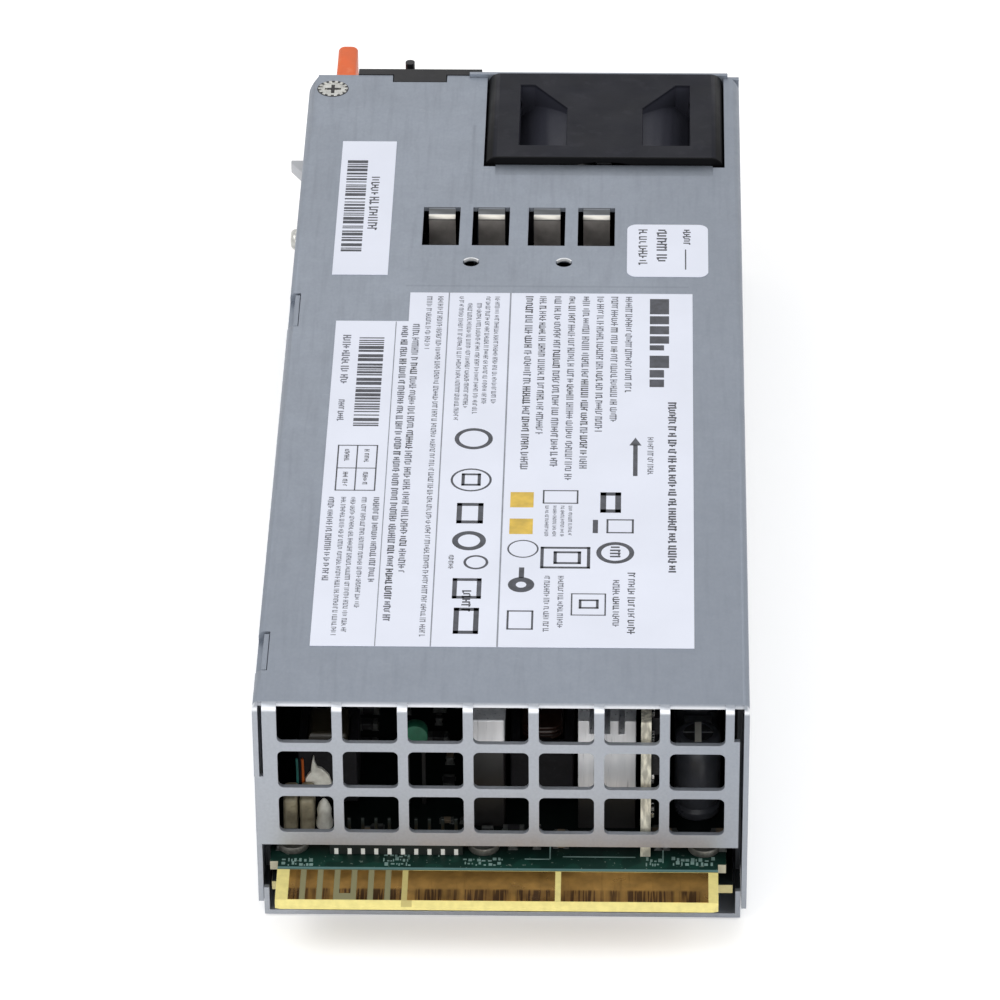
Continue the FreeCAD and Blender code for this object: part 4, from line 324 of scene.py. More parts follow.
def header_moulding():
    """A dark strip with a pale tooth at the foot of each of its ten pins."""
    low, high = mm_box("header_row")
    pitch = (high.x - low.x) / 10
    paint = Paint("header_moulding", 0.45)
    from_end = paint.math("SUBTRACT", paint.axes["X"], low.x * MM)
    phase = paint.math("FRACT", paint.math("DIVIDE", from_end, pitch * MM))
    tooth = paint.math("LESS_THAN", paint.math("ABSOLUTE", paint.math("SUBTRACT", phase, 0.5)), 0.15)
    foot = paint.times(tooth, paint.below("Z", low.z + 1.15))
    paint.tone = paint.mix(foot, (24, 30, 28), (240, 240, 234))
    paint.finish([(paint.noise(0.4), 0.01)])


def coated_disc():
    """A green disc on dark legs."""
    low, high = mm_box("thermistor")
    paint = Paint("green_disc", 0.42)
    paint.tone = paint.mix(paint.cloud(2, 0.3, 0.7, detail=4), (26, 82, 60), (36, 104, 78))
    paint.lay((30, 30, 30), paint.below("Z", high.z - (high.x - low.x) - 0.1))
    paint.finish([(paint.noise(0.5), 0.03)])


def sink_metal(name, level):
    """Drawn metal, bright near its top, with painted shade below a level."""
    paint = Paint(name, 0.36, 0.7)
    patches = paint.cloud(2.6, 0.3, 0.7, 1, 4, (1, 1, 0.12))
    bright = paint.mix(patches, (206, 208, 212), (244, 245, 248))
    scores = paint.cloud(0.5, 0.6, 0.68, 0.5, 2, (1, 1, 0.05))
    bright = paint.mix(scores, bright, (120, 122, 128))
    # Painted shade: below the level the metal is painted near black and less metallic.
    lit = paint.ramp("Z", level - 1.2, level + 0.8, smooth=True)
    paint.tone = paint.mix(lit, (22, 21, 21), bright)
    paint.feed(paint.shader["Metallic"], paint.span(lit, 0, 1, 0, 0.25))
    paint.finish([(paint.noise(0.4, 3, (1, 1, 0.12)), 0.02)])


def fan_moulding():
    """Black moulding with painted shade on its ends and front face, and painted light in its pockets and on a
    barrel paler than the flanges.
    """
    base = (24, 25, 33)
    paint = Paint("fan_moulding", 0.48, gloss=0.12)
    paint.tone = paint.mix(paint.cloud(7, 0.3, 0.7, detail=4), toned(base, 0.9), toned(base, 1.1))
    paint.lay((46, 46, 54), paint.cloud(2.4, 0.56, 0.72, 0.35, 6))
    # Painted light: the pockets between the flanges are painted paler.
    paint.lay((50, 51, 60), paint.band("Y", fan_low.y + 3.6, fan_high.y - 3.6, 0.3),
              paint.band("Z", fan_low.z + 0.4, fan_high.z - 0.4, 0.2))
    # Painted light: the barrel inside the pockets is painted paler still.
    across = paint.away(paint.axes["X"], FAN_X)
    up = paint.away(paint.axes["Z"], FAN_Z)
    away = paint.math("SQRT", paint.math("ADD", paint.times(across, across), paint.times(up, up)))
    barrel = paint.span(away, (FAN_HALF - 0.35) * MM, (FAN_HALF - 0.25) * MM, 1, 0)
    paint.lay((92, 92, 100), barrel, paint.band("Y", fan_low.y + 3.9, fan_high.y - 3.9, 0.05))
    # Painted shade: the rounded ends and the front face are painted near black.
    ends = paint.span(across, (FAN_HALF - 1.5) * MM, (FAN_HALF - 1.1) * MM)
    front = paint.ramp("Y", fan_low.y + 0.1, fan_low.y + 0.25, 1, 0)
    paint.lay((9, 9, 11), paint.math("MAXIMUM", ends, front))
    paint.finish([(paint.noise(0.3), 0.008)])


def contact_gold():
    """Gold plate with clusters of brown rubbed streaks at the insertion end."""
    base = (186, 141, 72)
    paint = Paint("gold_contact", 0.32, 0.8)
    paint.tone = paint.mix(paint.cloud(2.2, 0.3, 0.7, detail=4), toned(base, 0.88), toned(base, 1.08))
    cluster = paint.times(paint.cloud(2.4, 0.36, 0.46, 1, 1, (1, 0.05, 1)), paint.ramp("Y", -6.7, -6.2, 1, 0))
    paint.lay((104, 68, 36), cluster, 0.5)
    paint.lay((62, 38, 20), paint.cloud(0.32, 0.46, 0.52, 1, 1, (1, 0.04, 1)), cluster, 0.8)
    paint.lay((120, 84, 42), paint.cloud(0.9, 0.58, 0.72, 0.35, 3, (1, 0.1, 1)))
    paint.finish([(paint.noise(0.5, 3, (1, 0.1, 1)), 0.012)])


def wound(name, colour, size, depth, rough, metal=0):
    """Turns of wire or tape, one above another."""
    unit_wave = 0.314  # length of a wave at a scale of 1
    paint = Paint(name, rough, metal)
    feeds = {"Vector": paint.place, "Scale": unit_wave / (size * MM), "Distortion": 0.4}
    turns = paint.add("ShaderNodeTexWave", feeds, bands_direction="Z").outputs["Fac"]
    paint.tone = paint.mix(paint.span(turns, 0, 0.5), toned(colour, 0.55), colour)
    paint.lay(toned(colour, 0.8), paint.cloud(3, 0.35, 0.65, 0.4))
    paint.finish([(turns, depth)])


def fan_lead_covers():
    """Four leads side by side, each of its own colour."""
    pitch = 1.2
    paint = Paint("fan_lead_covers", 0.5)
    paint.tone = (40, 80, 160)
    edge = mm_box("fan_leads")[0].x
    for step, colour in ((3, (206, 170, 40)), (2, (176, 36, 30)), (1, (38, 38, 40))):
        paint.lay(colour, paint.below("X", edge + step * pitch))
    paint.finish([(paint.noise(0.6), 0.01)])


def lamp_lens():
    """Clear, faintly green plastic."""
    paint = Paint("lamp_lens", 0.12, 0, 0.5)
    paint.shader["Transmission Weight"].default_value = 0.6
    paint.shader["IOR"].default_value = 1.49
    paint.tone = paint.mix(paint.cloud(2, 0.3, 0.7), (196, 232, 200), (226, 246, 226))
    paint.finish([(paint.noise(1), 0.01)], rough_swing=0.04)


# Finishes of the record's material slots
galvanised()
contact_gold()
coated_disc()
lamp_lens()
board("circuit_board", (22, 54, 46), (200, 190, 140))
sink_metal("aluminium", 17)
wound("coil_tape", (52, 46, 32), 4.5, 0.06, 0.45)
wound("copper_wire", (40, 21, 13), 0.9, 0.25, 0.36, 0.3)
plain("spring_steel", (176, 178, 182), 0.34, 0.85, swing=0.05, stretch=(1, 0.1, 1))
plain("bright_wire", (196, 198, 202), 0.18, 0.95, patch=3, swing=0.05, depth=0.004)
plain("plated_metal", (196, 196, 192), 0.30, 0.8, patch=1.6, swing=0.12, grain=0.2, dust=(150, 148, 140))
plain("black_plastic", (25, 25, 28), 0.46, patch=8, swing=0.12, grain=0.28, depth=0.012,
      dust=(44, 44, 48), gloss=0.25)
plain("coated_wire", (26, 26, 29), 0.42, swing=0.12, grain=0.25, depth=0.006, dust=(54, 54, 58), gloss=0.3)
plain("orange_plastic", (228, 104, 50), 0.42, patch=6, swing=0.05, grain=0.4, depth=0.008,
      dust=(238, 136, 90), gloss=0.35)
plain("white_plastic", (226, 224, 214), 0.45, swing=0.04)
plain("grey_plastic", (118, 120, 124), 0.45, swing=0.08, dust=(150, 150, 152))
plain("beige_plastic", (148, 140, 118), 0.5, patch=2.5, swing=0.14, depth=0.03,
      dust=(108, 102, 84), gloss=0.3)
plain("can_sleeve", (60, 62, 68), 0.34, patch=4, swing=0.12, coat=0.2, dust=(78, 80, 86))
plain("ferrite", (24, 24, 27), 0.6, patch=2, swing=0.14, grain=0.3, depth=0.03, dust=(40, 40, 43), gloss=0.2)
plain("film_sheet", (206, 206, 186), 0.35, swing=0.04, depth=0.006)
plain("lead_cover", (40, 40, 42), 0.5, swing=0.1)
plain("label_film", (229, 233, 246), 0.42, patch=14, swing=0.012, grain=0.8, depth=0.006)

# Finishes of nodes and pieces that don't look like the rest of their slot
fan_moulding()
fan_lead_covers()
upright_board()
header_moulding()
board("tongue_board", (17, 46, 39), (240, 226, 146), tongue=True)
# The lower board's mask is painted near black as shade.
board("lower_board", (22, 27, 28), (200, 190, 140))
sink_metal("bus_bar", 25.6)
plain("fan_rotor_moulding", (28, 28, 31), 0.35, patch=6, swing=0.1, dust=(60, 60, 64))
plain("dull_screw", (106, 105, 100), 0.42, 0.6, patch=1.2, swing=0.16, grain=0.2, dust=(86, 84, 78))
plain("chip_resin", (30, 30, 32), 0.5, patch=1.5, swing=0.15, grain=0.15, depth=0.006, dust=(80, 80, 82))
plain("ceramic", (110, 98, 82), 0.4, patch=1, swing=0.1)
plain("solder", (206, 206, 204), 0.26, 0.9, patch=0.8, swing=0.15, depth=0.03)
plain("dull_solder", (84, 86, 84), 0.45, 0.4, patch=0.8, swing=0.2, depth=0.03)
plain("sealing_paste", (240, 237, 226), 0.5, patch=1.5, swing=0.08, grain=0.5, depth=0.12)
plain("teal_lead", (44, 104, 98), 0.45, patch=2, swing=0.08)
plain("amber_lead", (190, 92, 34), 0.45, patch=2, swing=0.08)
plain("stripe", (168, 172, 178), 0.35, swing=0.06)
plain("can_metal", (200, 202, 204), 0.30, 0.85, patch=2, swing=0.1)
plain("silkscreen", (128, 156, 150), 0.5, patch=1.5, swing=0.08, grain=0.15, depth=0.004)
# Painted highlight for the far lips of the cover's round holes.
plain("painted_lip_highlight", (232, 234, 236), 0.35, 0.3, patch=1, swing=0.06, grain=0.2)
# Painted shade for the driver slots, the cover screw's seat and the scores on the bulk cans.
plain("painted_recess_shade", (30, 30, 32), 0.6, swing=0.1)
print_ink("ink", (62, 64, 72), 1.2, 0.2)
print_ink("fine_ink", (104, 107, 118), 1.2, 0.14)
print_ink("grey_ink", (138, 142, 152))
print_ink("yellow_ink", (214, 180, 74))

NODE_PAINTS = {
    "fan_frame": "fan_moulding", "fan_motor": "fan_moulding", "fan_leads": "fan_lead_covers",
    "main_board": "tongue_board", "lower_board": "lower_board", "control_board": "upright_board",
    "header_row": "header_moulding", "rectifier_heatsink": "bus_bar", "board_screws": "dull_screw",
    "control_chips": "chip_resin", "power_transistors": "chip_resin", "bridge_rectifier": "chip_resin",
}
for part in frame["record"]["subparts"]:
    paint = paints[NODE_PAINTS.get(part["node"], part["material_slot"])]
    materials = nodes[part["node"]].data.materials
    if not materials:
        materials.append(paint)
    for index in range(len(materials)):
        materials[index] = paint


# Rounded edges on the CAD nodes, by width in millimetres

EDGE_ROUNDING = {
    0.03: "rating_label serial_label seal_label",
    0.05: "main_board",
    0.08: "control_board",
    0.1: "latch_leaf latch_root lower_board header_row board_posts",
    0.12: "tray cover end_plate",
    0.15: "latch_grip control_chips output_heatsink board_screws",
    0.2: "fan_motor output_terminal primary_heatsink fan_screws",
    0.25: "fan_frame inlet_housing inlet_bezel latch_rivets",
    0.3: "inlet_blades rectifier_heatsink output_choke_core standby_core power_transistors bridge_rectifier "
         "fan_plug",
    0.4: "thermistor transformer_core boost_choke_core filter_choke_core fuse",
    0.5: "relay",
    0.6: "film_capacitors filter_capacitors",
    0.9: "output_choke_winding standby_winding",
    1: "filter_choke_winding",
    1.2: "transformer_winding boost_choke_winding",
}


def round_edges(item, width):
    bevel = item.modifiers.new("rounding", "BEVEL")
    bevel.width = width * MM
    bevel.segments = 2
    bevel.limit_method = "ANGLE"
    bevel.angle_limit = radians(40)
    bevel.harden_normals = True


for width, names in EDGE_ROUNDING.items():
    for name in names.split():
        weld = nodes[name].modifiers.new("weld", "WELD")
        weld.merge_threshold = 0.002 * MM
        flat = nodes[name].modifiers.new("dissolve", "DECIMATE")
        flat.decimate_type = "DISSOLVE"
        flat.angle_limit = radians(0.5)
        round_edges(nodes[name], width)


# Building blocks of new pieces, in millimetres

def new_object(name, data):
    item = bpy.data.objects.new(name, data)
    bpy.context.scene.collection.objects.link(item)
    return item


def dress(item, slot, paint, body):
    """Gives a piece its finish, the slot's own unless another paint is named, and the body that it rides on.
    """
    item.data.materials.append(paints[paint or slot])
    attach(item, body)
    return item


def piece(name, bm, slot, paint=None, body="case", rounding=0, sharp=35):
    """Turns a filled bmesh into a piece of the object."""
    bmesh.ops.recalc_face_normals(bm, faces=bm.faces)
    mesh = bpy.data.meshes.new(name)
    bm.to_mesh(mesh)
    bm.free()
    mesh.transform(Matrix.Scale(MM, 4))
    mesh.shade_smooth()
    mesh.set_sharp_from_angle(angle=radians(sharp))
    item = new_object(name, mesh)
    if rounding:
        round_edges(item, rounding)
    return dress(item, slot, paint, body)


def wire(name, runs, radius, slot, paint=None, closed=False):
    """Round wire along runs of points."""
    curve = bpy.data.curves.new(name, "CURVE")
    curve.dimensions = "3D"
    curve.bevel_depth = radius * MM
    curve.bevel_resolution = 5
    curve.use_fill_caps = True
    for points in runs:
        spline = curve.splines.new("POLY")
        spline.points.add(len(points) - 1)
        for target, point in zip(spline.points, points):
            target.co = (*(Vector(point) * MM), 1)
        spline.use_cyclic_u = closed
    return dress(new_object(name, curve), slot, paint, "case")


def bridge(bm, first, second):
    """Faces between two closed loops, either of which may be one point."""
    count = max(len(first), len(second))
    for index in range(count):
        after = (index + 1) % count
        ring = (first[index % len(first)], first[after % len(first)],
                second[after % len(second)], second[index % len(second)])
        face = list(dict.fromkeys(ring))
        if len(face) > 2:
            bm.faces.new(face)


def aligned(first, second, third, place=(0, 0, 0)):
    """A matrix that lays x, y and z along three directions from a place."""
    return Matrix.Translation(place) @ Matrix((first, second, third)).transposed().to_4x4()


def prism(bm, outline, low, high, turn=Matrix()):
    """A closed prism over (x, y) points, upright unless a matrix turns it."""
    loops = [[bm.verts.new(turn @ Vector((x, y, z))) for x, y in outline] for z in (low, high)]
    bm.faces.new(loops[0][::-1])
    bm.faces.new(loops[1])
    bridge(bm, *loops)


def rectangle(x_low, x_high, y_low, y_high):
    return [(x_low, y_low), (x_high, y_low), (x_high, y_high), (x_low, y_high)]


def block(bm, low, high):
    """A closed block between two corners."""
    prism(bm, rectangle(low[0], high[0], low[1], high[1]), low[2], high[2])


def circle_points(x, y, radius, steps=32, start=0, sweep=360):
    """Points on an arc given in degrees, ending one step short of a full turn."""
    turns = [radians(start + sweep * i / steps) for i in range(steps + (sweep != 360))]
    return [(x + radius * cos(turn), y + radius * sin(turn)) for turn in turns]


def ring_arc(x, y, outer, inner, steps, start, sweep):
    """The outline of an arc of a flat ring."""
    inside = circle_points(x, y, inner, steps, start, sweep)
    return circle_points(x, y, outer, steps, start, sweep) + inside[::-1]


def annulus(bm, x, y, outer, inner, low, high):
    """A flat ring."""
    loops = [[bm.verts.new((*point, z)) for point in circle_points(x, y, radius)]
             for radius, z in ((outer, low), (outer, high), (inner, high), (inner, low))]
    for first, second in zip(loops, loops[1:] + loops[:1]):
        bridge(bm, first, second)


def lathe(bm, profile, origin, axis, steps=48):
    """Turns (radius, height) points about an axis through origin."""
    axis = Vector(axis)
    side = axis.orthogonal().normalized()
    other = axis.cross(side)
    loops = []
    for radius, height in profile:
        centre = Vector(origin) + axis * height
        loops.append([bm.verts.new(centre + side * x + other * y)
                      for x, y in circle_points(0, 0, radius, steps if radius else 1)])
    for first, second in zip(loops, loops[1:]):
        bridge(bm, first, second)


def shoulder(radius, height, size):
    """A quarter round at the top of a side."""
    return circle_points(radius - size, height - size, size, 4, 0, 90)[1:]


# Labels: generic bars and dashes stand where a real one has words

PRINT = (label_high.z - 0.01, label_high.z + 0.015)
BOARD_PRINT = (BOARD_TOP - 0.01, BOARD_TOP + 0.03)


def bar(bm, x_low, x_high, y_low, y_high, heights=PRINT):
    prism(bm, rectangle(x_low, x_high, y_low, y_high), *heights)


def dashes(bm, x, y_top, y_foot, height, dice, weight=0.42, bold=None):
    """Groups of dashes down from y_top, some of them in the bold mesh."""
    pitch = height * 0.52
    place = y_top
    while place > y_foot + pitch:
        word = bold if bold is not None and dice.random() < 0.3 else bm
        for _ in range(dice.randint(2, 9)):
            if place < y_foot + pitch:
                break
            tall = height * dice.choice((0.7, 0.85, 1, 1))
            foot = place - pitch * weight * 0.95
            bar(word, x - tall / 2, x + tall / 2, foot, place)
            if dice.random() < 0.75:
                stem = x + dice.choice((-0.45, -0.1, 0.27)) * height
                bar(word, stem, stem + height * 0.18, place - pitch * 0.9, foot)
            place -= pitch
        place -= pitch * 0.75


def barcode(bm, x_low, x_high, y_foot, y_top, dice):
    """Bars of mixed thickness across x, which encode nothing."""
    place = y_foot
    while place < y_top - 0.3:
        thick = dice.choice((0.3, 0.4, 0.6, 0.9))
        bar(bm, x_low, x_high, place, min(y_top, place + thick))
        place += thick + dice.choice((0.25, 0.3, 0.45, 0.7))


def outline(bm, x_low, x_high, y_low, y_high, line):
    """The four sides of a rectangle."""
    bar(bm, x_low, x_high, y_low, y_low + line)
    bar(bm, x_low, x_high, y_high - line, y_high)
    bar(bm, x_low, x_low + line, y_low, y_high)
    bar(bm, x_high - line, x_high, y_low, y_high)


def rating_print():
    """Columns of dashes, a title of plain blocks, a table and a bar strip."""
    dice = random.Random(11)
    ink = bmesh.new()
    text = bmesh.new()
    for start, end in ((0, 4.6), (5.2, 7.6), (8.2, 10.6), (11.2, 13.4), (13.9, 15.4), (17, 20.6),
                       (21.2, 23.4), (24, 26.2)):
        bar(ink, 21.7, 24.8 if end - start > 2.2 else 24, 113 - end, 113 - start)
    for x, top, foot, height, weight in (
        (25.3, 82.4, 34.6, 1.35, 0.62), (21.9, 72.3, 61.6, 0.95, 0.4),
        (18.3, 113.6, 85, 1.15, 0.45), (16, 113.6, 76.4, 1.15, 0.45), (13.7, 113.6, 73, 1.15, 0.45),
        (11.4, 113.6, 62.4, 1.2, 0.5), (9.1, 113.6, 60, 1.15, 0.45), (6.8, 113.6, 63.4, 1.2, 0.5),
        (4.4, 113.6, 72.4, 1.15, 0.45), (2.2, 113.6, 62.4, 1.25, 0.5),
        (-3, 113.4, 81.4, 0.8, 0.4), (-4.5, 113.4, 81.2, 0.8, 0.4), (-5.9, 111.4, 78.6, 0.8, 0.4),
        (-7.4, 111.4, 80, 0.8, 0.4), (-8.8, 113.4, 76.5, 0.8, 0.4),
        (-12.2, 113.4, 17.4, 0.9, 0.4), (-14, 113.4, 97, 0.9, 0.4),
        (-15.9, 105, 34.2, 1.15, 0.5), (-17.7, 104.4, 21.4, 1.15, 0.6),
        (-20.4, 55, 31.4, 1, 0.55), (-22.3, 55, 25, 0.8, 0.4), (-24, 55, 18.4, 0.8, 0.4),
        (-25.5, 55, 17.6, 0.8, 0.4), (-27.4, 55, 32, 1, 0.5),
        (-26.9, 101.6, 86.2, 1.3, 0.5), (-27, 82.6, 76.4, 1.1, 0.5),
        (8.4, 34, 20, 0.9, 0.4), (6.3, 34, 19, 0.9, 0.4),
        (19.1, 35, 18, 1.2, 0.45), (16.8, 33, 20.6, 1.1, 0.45),
        *[(x, 53, 44.4, 0.6, 0.4) for x in (6, 7.2, 8.4, 9.6)],
    ):
        mesh, bold = ink if weight > 0.6 else text, ink if height > 1 else None
        dashes(mesh, x, top, foot, height, dice, weight, bold)
    piece("rating_text", text, "label_film", "fine_ink")
    barcode(ink, -24.9, -20.9, 75, 101.6, dice)
    outline(ink, -27, -20.7, 56.8, 69.6, 0.22)
    bar(ink, -24, -23.8, 56.8, 69.6)
    bar(ink, -27, -20.7, 63, 63.2)
    for y in (66.4, 60):
        for x in (-25.5, -22.4):
            dashes(ink, x, y + 2, y - 2, 0.8, dice)
    bar(ink, 19.2, 19.9, 61.4, 70.2)
    prism(ink, [(18.6, 70), (20.5, 70), (19.55, 72.2)], *PRINT)
    piece("rating_print", ink, "label_film", "ink")
    rating_marks(dice)


def rating_marks(dice):
    """Plain rings and rectangles, two tinted squares and the rules between columns."""
    marks = bmesh.new()
    for x, y, radius, line in (
        (-5.9, 60, 3.2, 0.35), (-5.8, 43.3, 2.6, 0.9), (-4.6, 37.5, 1.9, 0.4), (2.5, 41.2, 2.4, 0.25),
        (16.6, 40.3, 2.9, 0.75), (2.4, 31.6, 2, 1.2), (-5.8, 71.6, 3, 0.7),
    ):
        annulus(marks, x, y, radius, radius - line, *PRINT)
    for sides in (
        (-7.4, -4.4, 58.4, 61.8, 0.5), (-7.9, -3.8, 48, 53.6, 0.8), (-8, -3.6, 27.8, 33.2, 0.7),
        (-7.6, -3.8, 18.6, 25.4, 0.8), (5.2, 12.8, 36, 41.8, 0.5), (7.2, 11.4, 37.2, 40.6, 0.5),
        (10, 15.3, 23.6, 29.4, 0.22), (11.2, 14.2, 25.4, 27.8, 0.4), (5.3, 10.8, 53.6, 57.3, 0.25),
        (15.2, 19.4, 45.6, 49.4, 0.3), (14.2, 17.4, 51.2, 56.8, 0.9), (0.4, 4.4, 19.8, 24.8, 0.3),
    ):
        outline(marks, *sides)
    bar(marks, 13.1, 13.9, 45.6, 49.2)
    bar(marks, 2, 2.8, 33.4, 36.2)
    dashes(marks, -8.4, 39.4, 35.6, 0.8, dice)
    dashes(marks, 16.6, 42, 38.6, 1.6, dice, 0.5)
    dashes(marks, -5.8, 30, 24, 1.4, dice, 0.5)
    piece("rating_marks", marks, "label_film", "ink")

    tint = bmesh.new()
    for y in (54.6, 47.3):
        bar(tint, 0.3, 3.9, y - 2.1, y + 2.1)
    piece("rating_tint", tint, "label_film", "yellow_ink")

    rules = bmesh.new()
    bar(rules, -19.25, -19.1, label_low.y, label_high.y - 8.9)
    bar(rules, -10.95, -10.75, label_low.y, label_high.y)
    bar(rules, -1, -0.75, label_low.y, label_high.y)
    piece("rating_rules", rules, "label_film", "grey_ink")


def serial_print():
    """A bar strip and one line of dashes."""
    dice = random.Random(23)
    ink = bmesh.new()
    x, y = mm_box("serial_label")[0].xy
    barcode(ink, x + 1.1, x + 4.5, y + 7.1, y + 36.2, dice)
    dashes(ink, x + 6, y + 30.8, y + 12.6, 1.6, dice)
    piece("serial_print", ink, "label_film", "ink")


def seal_print():
    """Three lines of dashes and a rule."""
    dice = random.Random(31)
    ink = bmesh.new()
    low, high = mm_box("seal_label")
    for x, foot, height, weight in ((2.6, 2.8, 1.5, 0.4), (5.7, 3.6, 1.7, 0.5), (9.8, 9, 1.3, 0.5)):
        dashes(ink, low.x + x, high.y - 1.6, low.y + foot, height, dice, weight)
    bar(ink, low.x + 9.5, low.x + 9.7, low.y + 2.2, low.y + 8.4)
    piece("seal_print", ink, "label_film", "ink")


rating_print()
serial_print()
seal_print()


# Cans, windings and board details

def can(name, index, origin, axis, radius, length, top_paint, scores):
    """A sleeved capacitor with a crimp, a rounded shoulder and two scores on top."""
    crimp = radius * 0.88
    rim = radius - 1.2
    sleeve = bmesh.new()
    lathe(sleeve, [(0, 0), (radius * 0.92, 0), (radius, 0.4), (radius, 1.4), (crimp, 1.9), (crimp, 2.3),
                   (radius, 2.9), (radius, length - 0.9), *shoulder(radius, length - 0.1, 0.8),
                   (rim, length - 0.1), (rim, length - 0.35), (0, length - 0.35)], origin, axis, 64)
    skin = piece(f"{name}_sleeve_{index}", sleeve, "can_sleeve")
    top = bmesh.new()
    lathe(top, [(0, length - 0.35), (radius - 1.25, length - 0.35), (radius - 1.4, length - 0.14),
                (0, length - 0.14)], origin, axis)
    piece(f"{name}_top_{index}", top, "can_sleeve", top_paint)
    axis = Vector(axis)
    centre = Vector(origin) + axis * (length - 0.12)
    sides = [Vector((1, 0, 0)), axis.cross(Vector((1, 0, 0)))]
    for number, (half, paint) in enumerate(scores):
        lift = number * 0.01
        score = bmesh.new()
        prism(score, rectangle(-0.72 * radius, 0.72 * radius, -half, half), lift - 0.02, lift + 0.02,
              aligned(sides[number], sides[1 - number], axis, centre))
        piece(f"{name}_score_{index}_{number}", score, "can_sleeve", paint)
    return skin


def output_cans():
    """Four upright cans in a row."""
    low, high = mm_box("output_capacitors")
    radius = (high.x - low.x) / 2
    pitch = (high.y - low.y - 2 * radius) / 3
    for index in range(4):
        skin = can("output_can", index, (low.x + radius, low.y + radius + index * pitch, low.z), (0, 0, 1),
                   radius, high.z - low.z, "chip_resin", ((0.12, "grey_plastic"), (0.5, "white_plastic")))
        if index == 0:
            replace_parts(skin, "output_capacitors")


def bulk_cans():
    """Two large cans lying side by side, each with a pale stripe on top."""
    low, high = mm_box("bulk_capacitors")
    radius = (high.z - low.z - 0.4) / 2
    z = high.z - radius
    for index, x in enumerate((low.x + radius, high.x - radius)):
        # The two scores on each can's end are painted shade.
        skin = can("bulk_can", index, (x, high.y - 2, z), (0, -1, 0), radius, high.y - low.y - 2,
                   "can_metal", ((0.12, "painted_recess_shade"), (0.12, "painted_recess_shade")))
        if index == 0:
            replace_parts(skin, "bulk_capacitors")
        stripe = bmesh.new()
        prism(stripe, ring_arc(0, 0, radius + 0.03, radius - 0.3, 10, 60, 60), low.y + 3, high.y - 5,
              aligned((1, 0, 0), (0, 0, 1), (0, 1, 0), (x, 0, z)))
        piece(f"bulk_stripe_{index}", stripe, "can_sleeve", "stripe")


def crown(prefix, turns):
    """Turns around a block shaped winding, as stacked rounded hoops."""
    winding = f"{prefix}_winding"
    wire_size = 0.4
    parts = 5
    low, high = mm_box(winding)
    half_x = (high.x - low.x) / 2
    half_y = (high.y - low.y) / 2
    corner = min(half_x, half_y) * 0.7
    pitch = (high.z - low.z) / turns
    layers = []
    for step in range(turns * parts):
        share = (step % parts + 0.5) / parts
        layers.append((wire_size * (1 - sin(pi * share)), low.z + (step + 0.5) * pitch / parts))
    end = layers[0][0] + corner * 0.4
    bm = bmesh.new()
    loops = []
    for inset, z in ((end, low.z), *layers, (end, high.z)):
        points = []
        for start, sx, sy in ((0, 1, 1), (90, -1, 1), (180, -1, -1), (270, 1, -1)):
            x = low.x + half_x + sx * (half_x - corner)
            y = low.y + half_y + sy * (half_y - corner)
            points += circle_points(x, y, corner - inset, 6, start, 90)
        loops.append([bm.verts.new((x, y, z)) for x, y in points])
    bm.faces.new(loops[0][::-1])
    bm.faces.new(loops[-1])
    for first, second in zip(loops, loops[1:]):
        bridge(bm, first, second)
    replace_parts(piece(f"{prefix}_turns", bm, "copper_wire"), winding)


def silkscreen():
    """Strokes and dashes printed on the front strip of the main board."""
    dice = random.Random(5)
    bm = bmesh.new()
    for sides in ((9.1, 20, 1.75, 1.95), (3.4, 7.3, 1.1, 1.3), (7.1, 7.3, 1.1, 4.6),
                  (24.05, 24.25, 0.5, 3.8), (-9.6, -9.4, 1.6, 3.4)):
        bar(bm, *sides, BOARD_PRINT)
    for x_low, x_high, y_low, rows in (
        (-17.9, -14, -0.7, 3), (-6, 0, -0.5, 2), (21.4, 23.7, -0.3, 2), (25.2, 31.4, -0.1, 2),
        (-33.2, -28.6, -0.9, 2),
    ):
        for row in range(rows):
            place = x_low + dice.uniform(0, 0.5)
            while place < x_high:
                wide = dice.choice((0.2, 0.35, 0.55))
                low = y_low + row * 1.05 + dice.choice((0, 0, 0.3))
                bar(bm, place, place + wide, low, low + dice.choice((0.3, 0.6, 0.8)), BOARD_PRINT)
                place += wide + dice.choice((0.15, 0.25, 0.4))
    piece("front_silkscreen", bm, "circuit_board", "silkscreen")


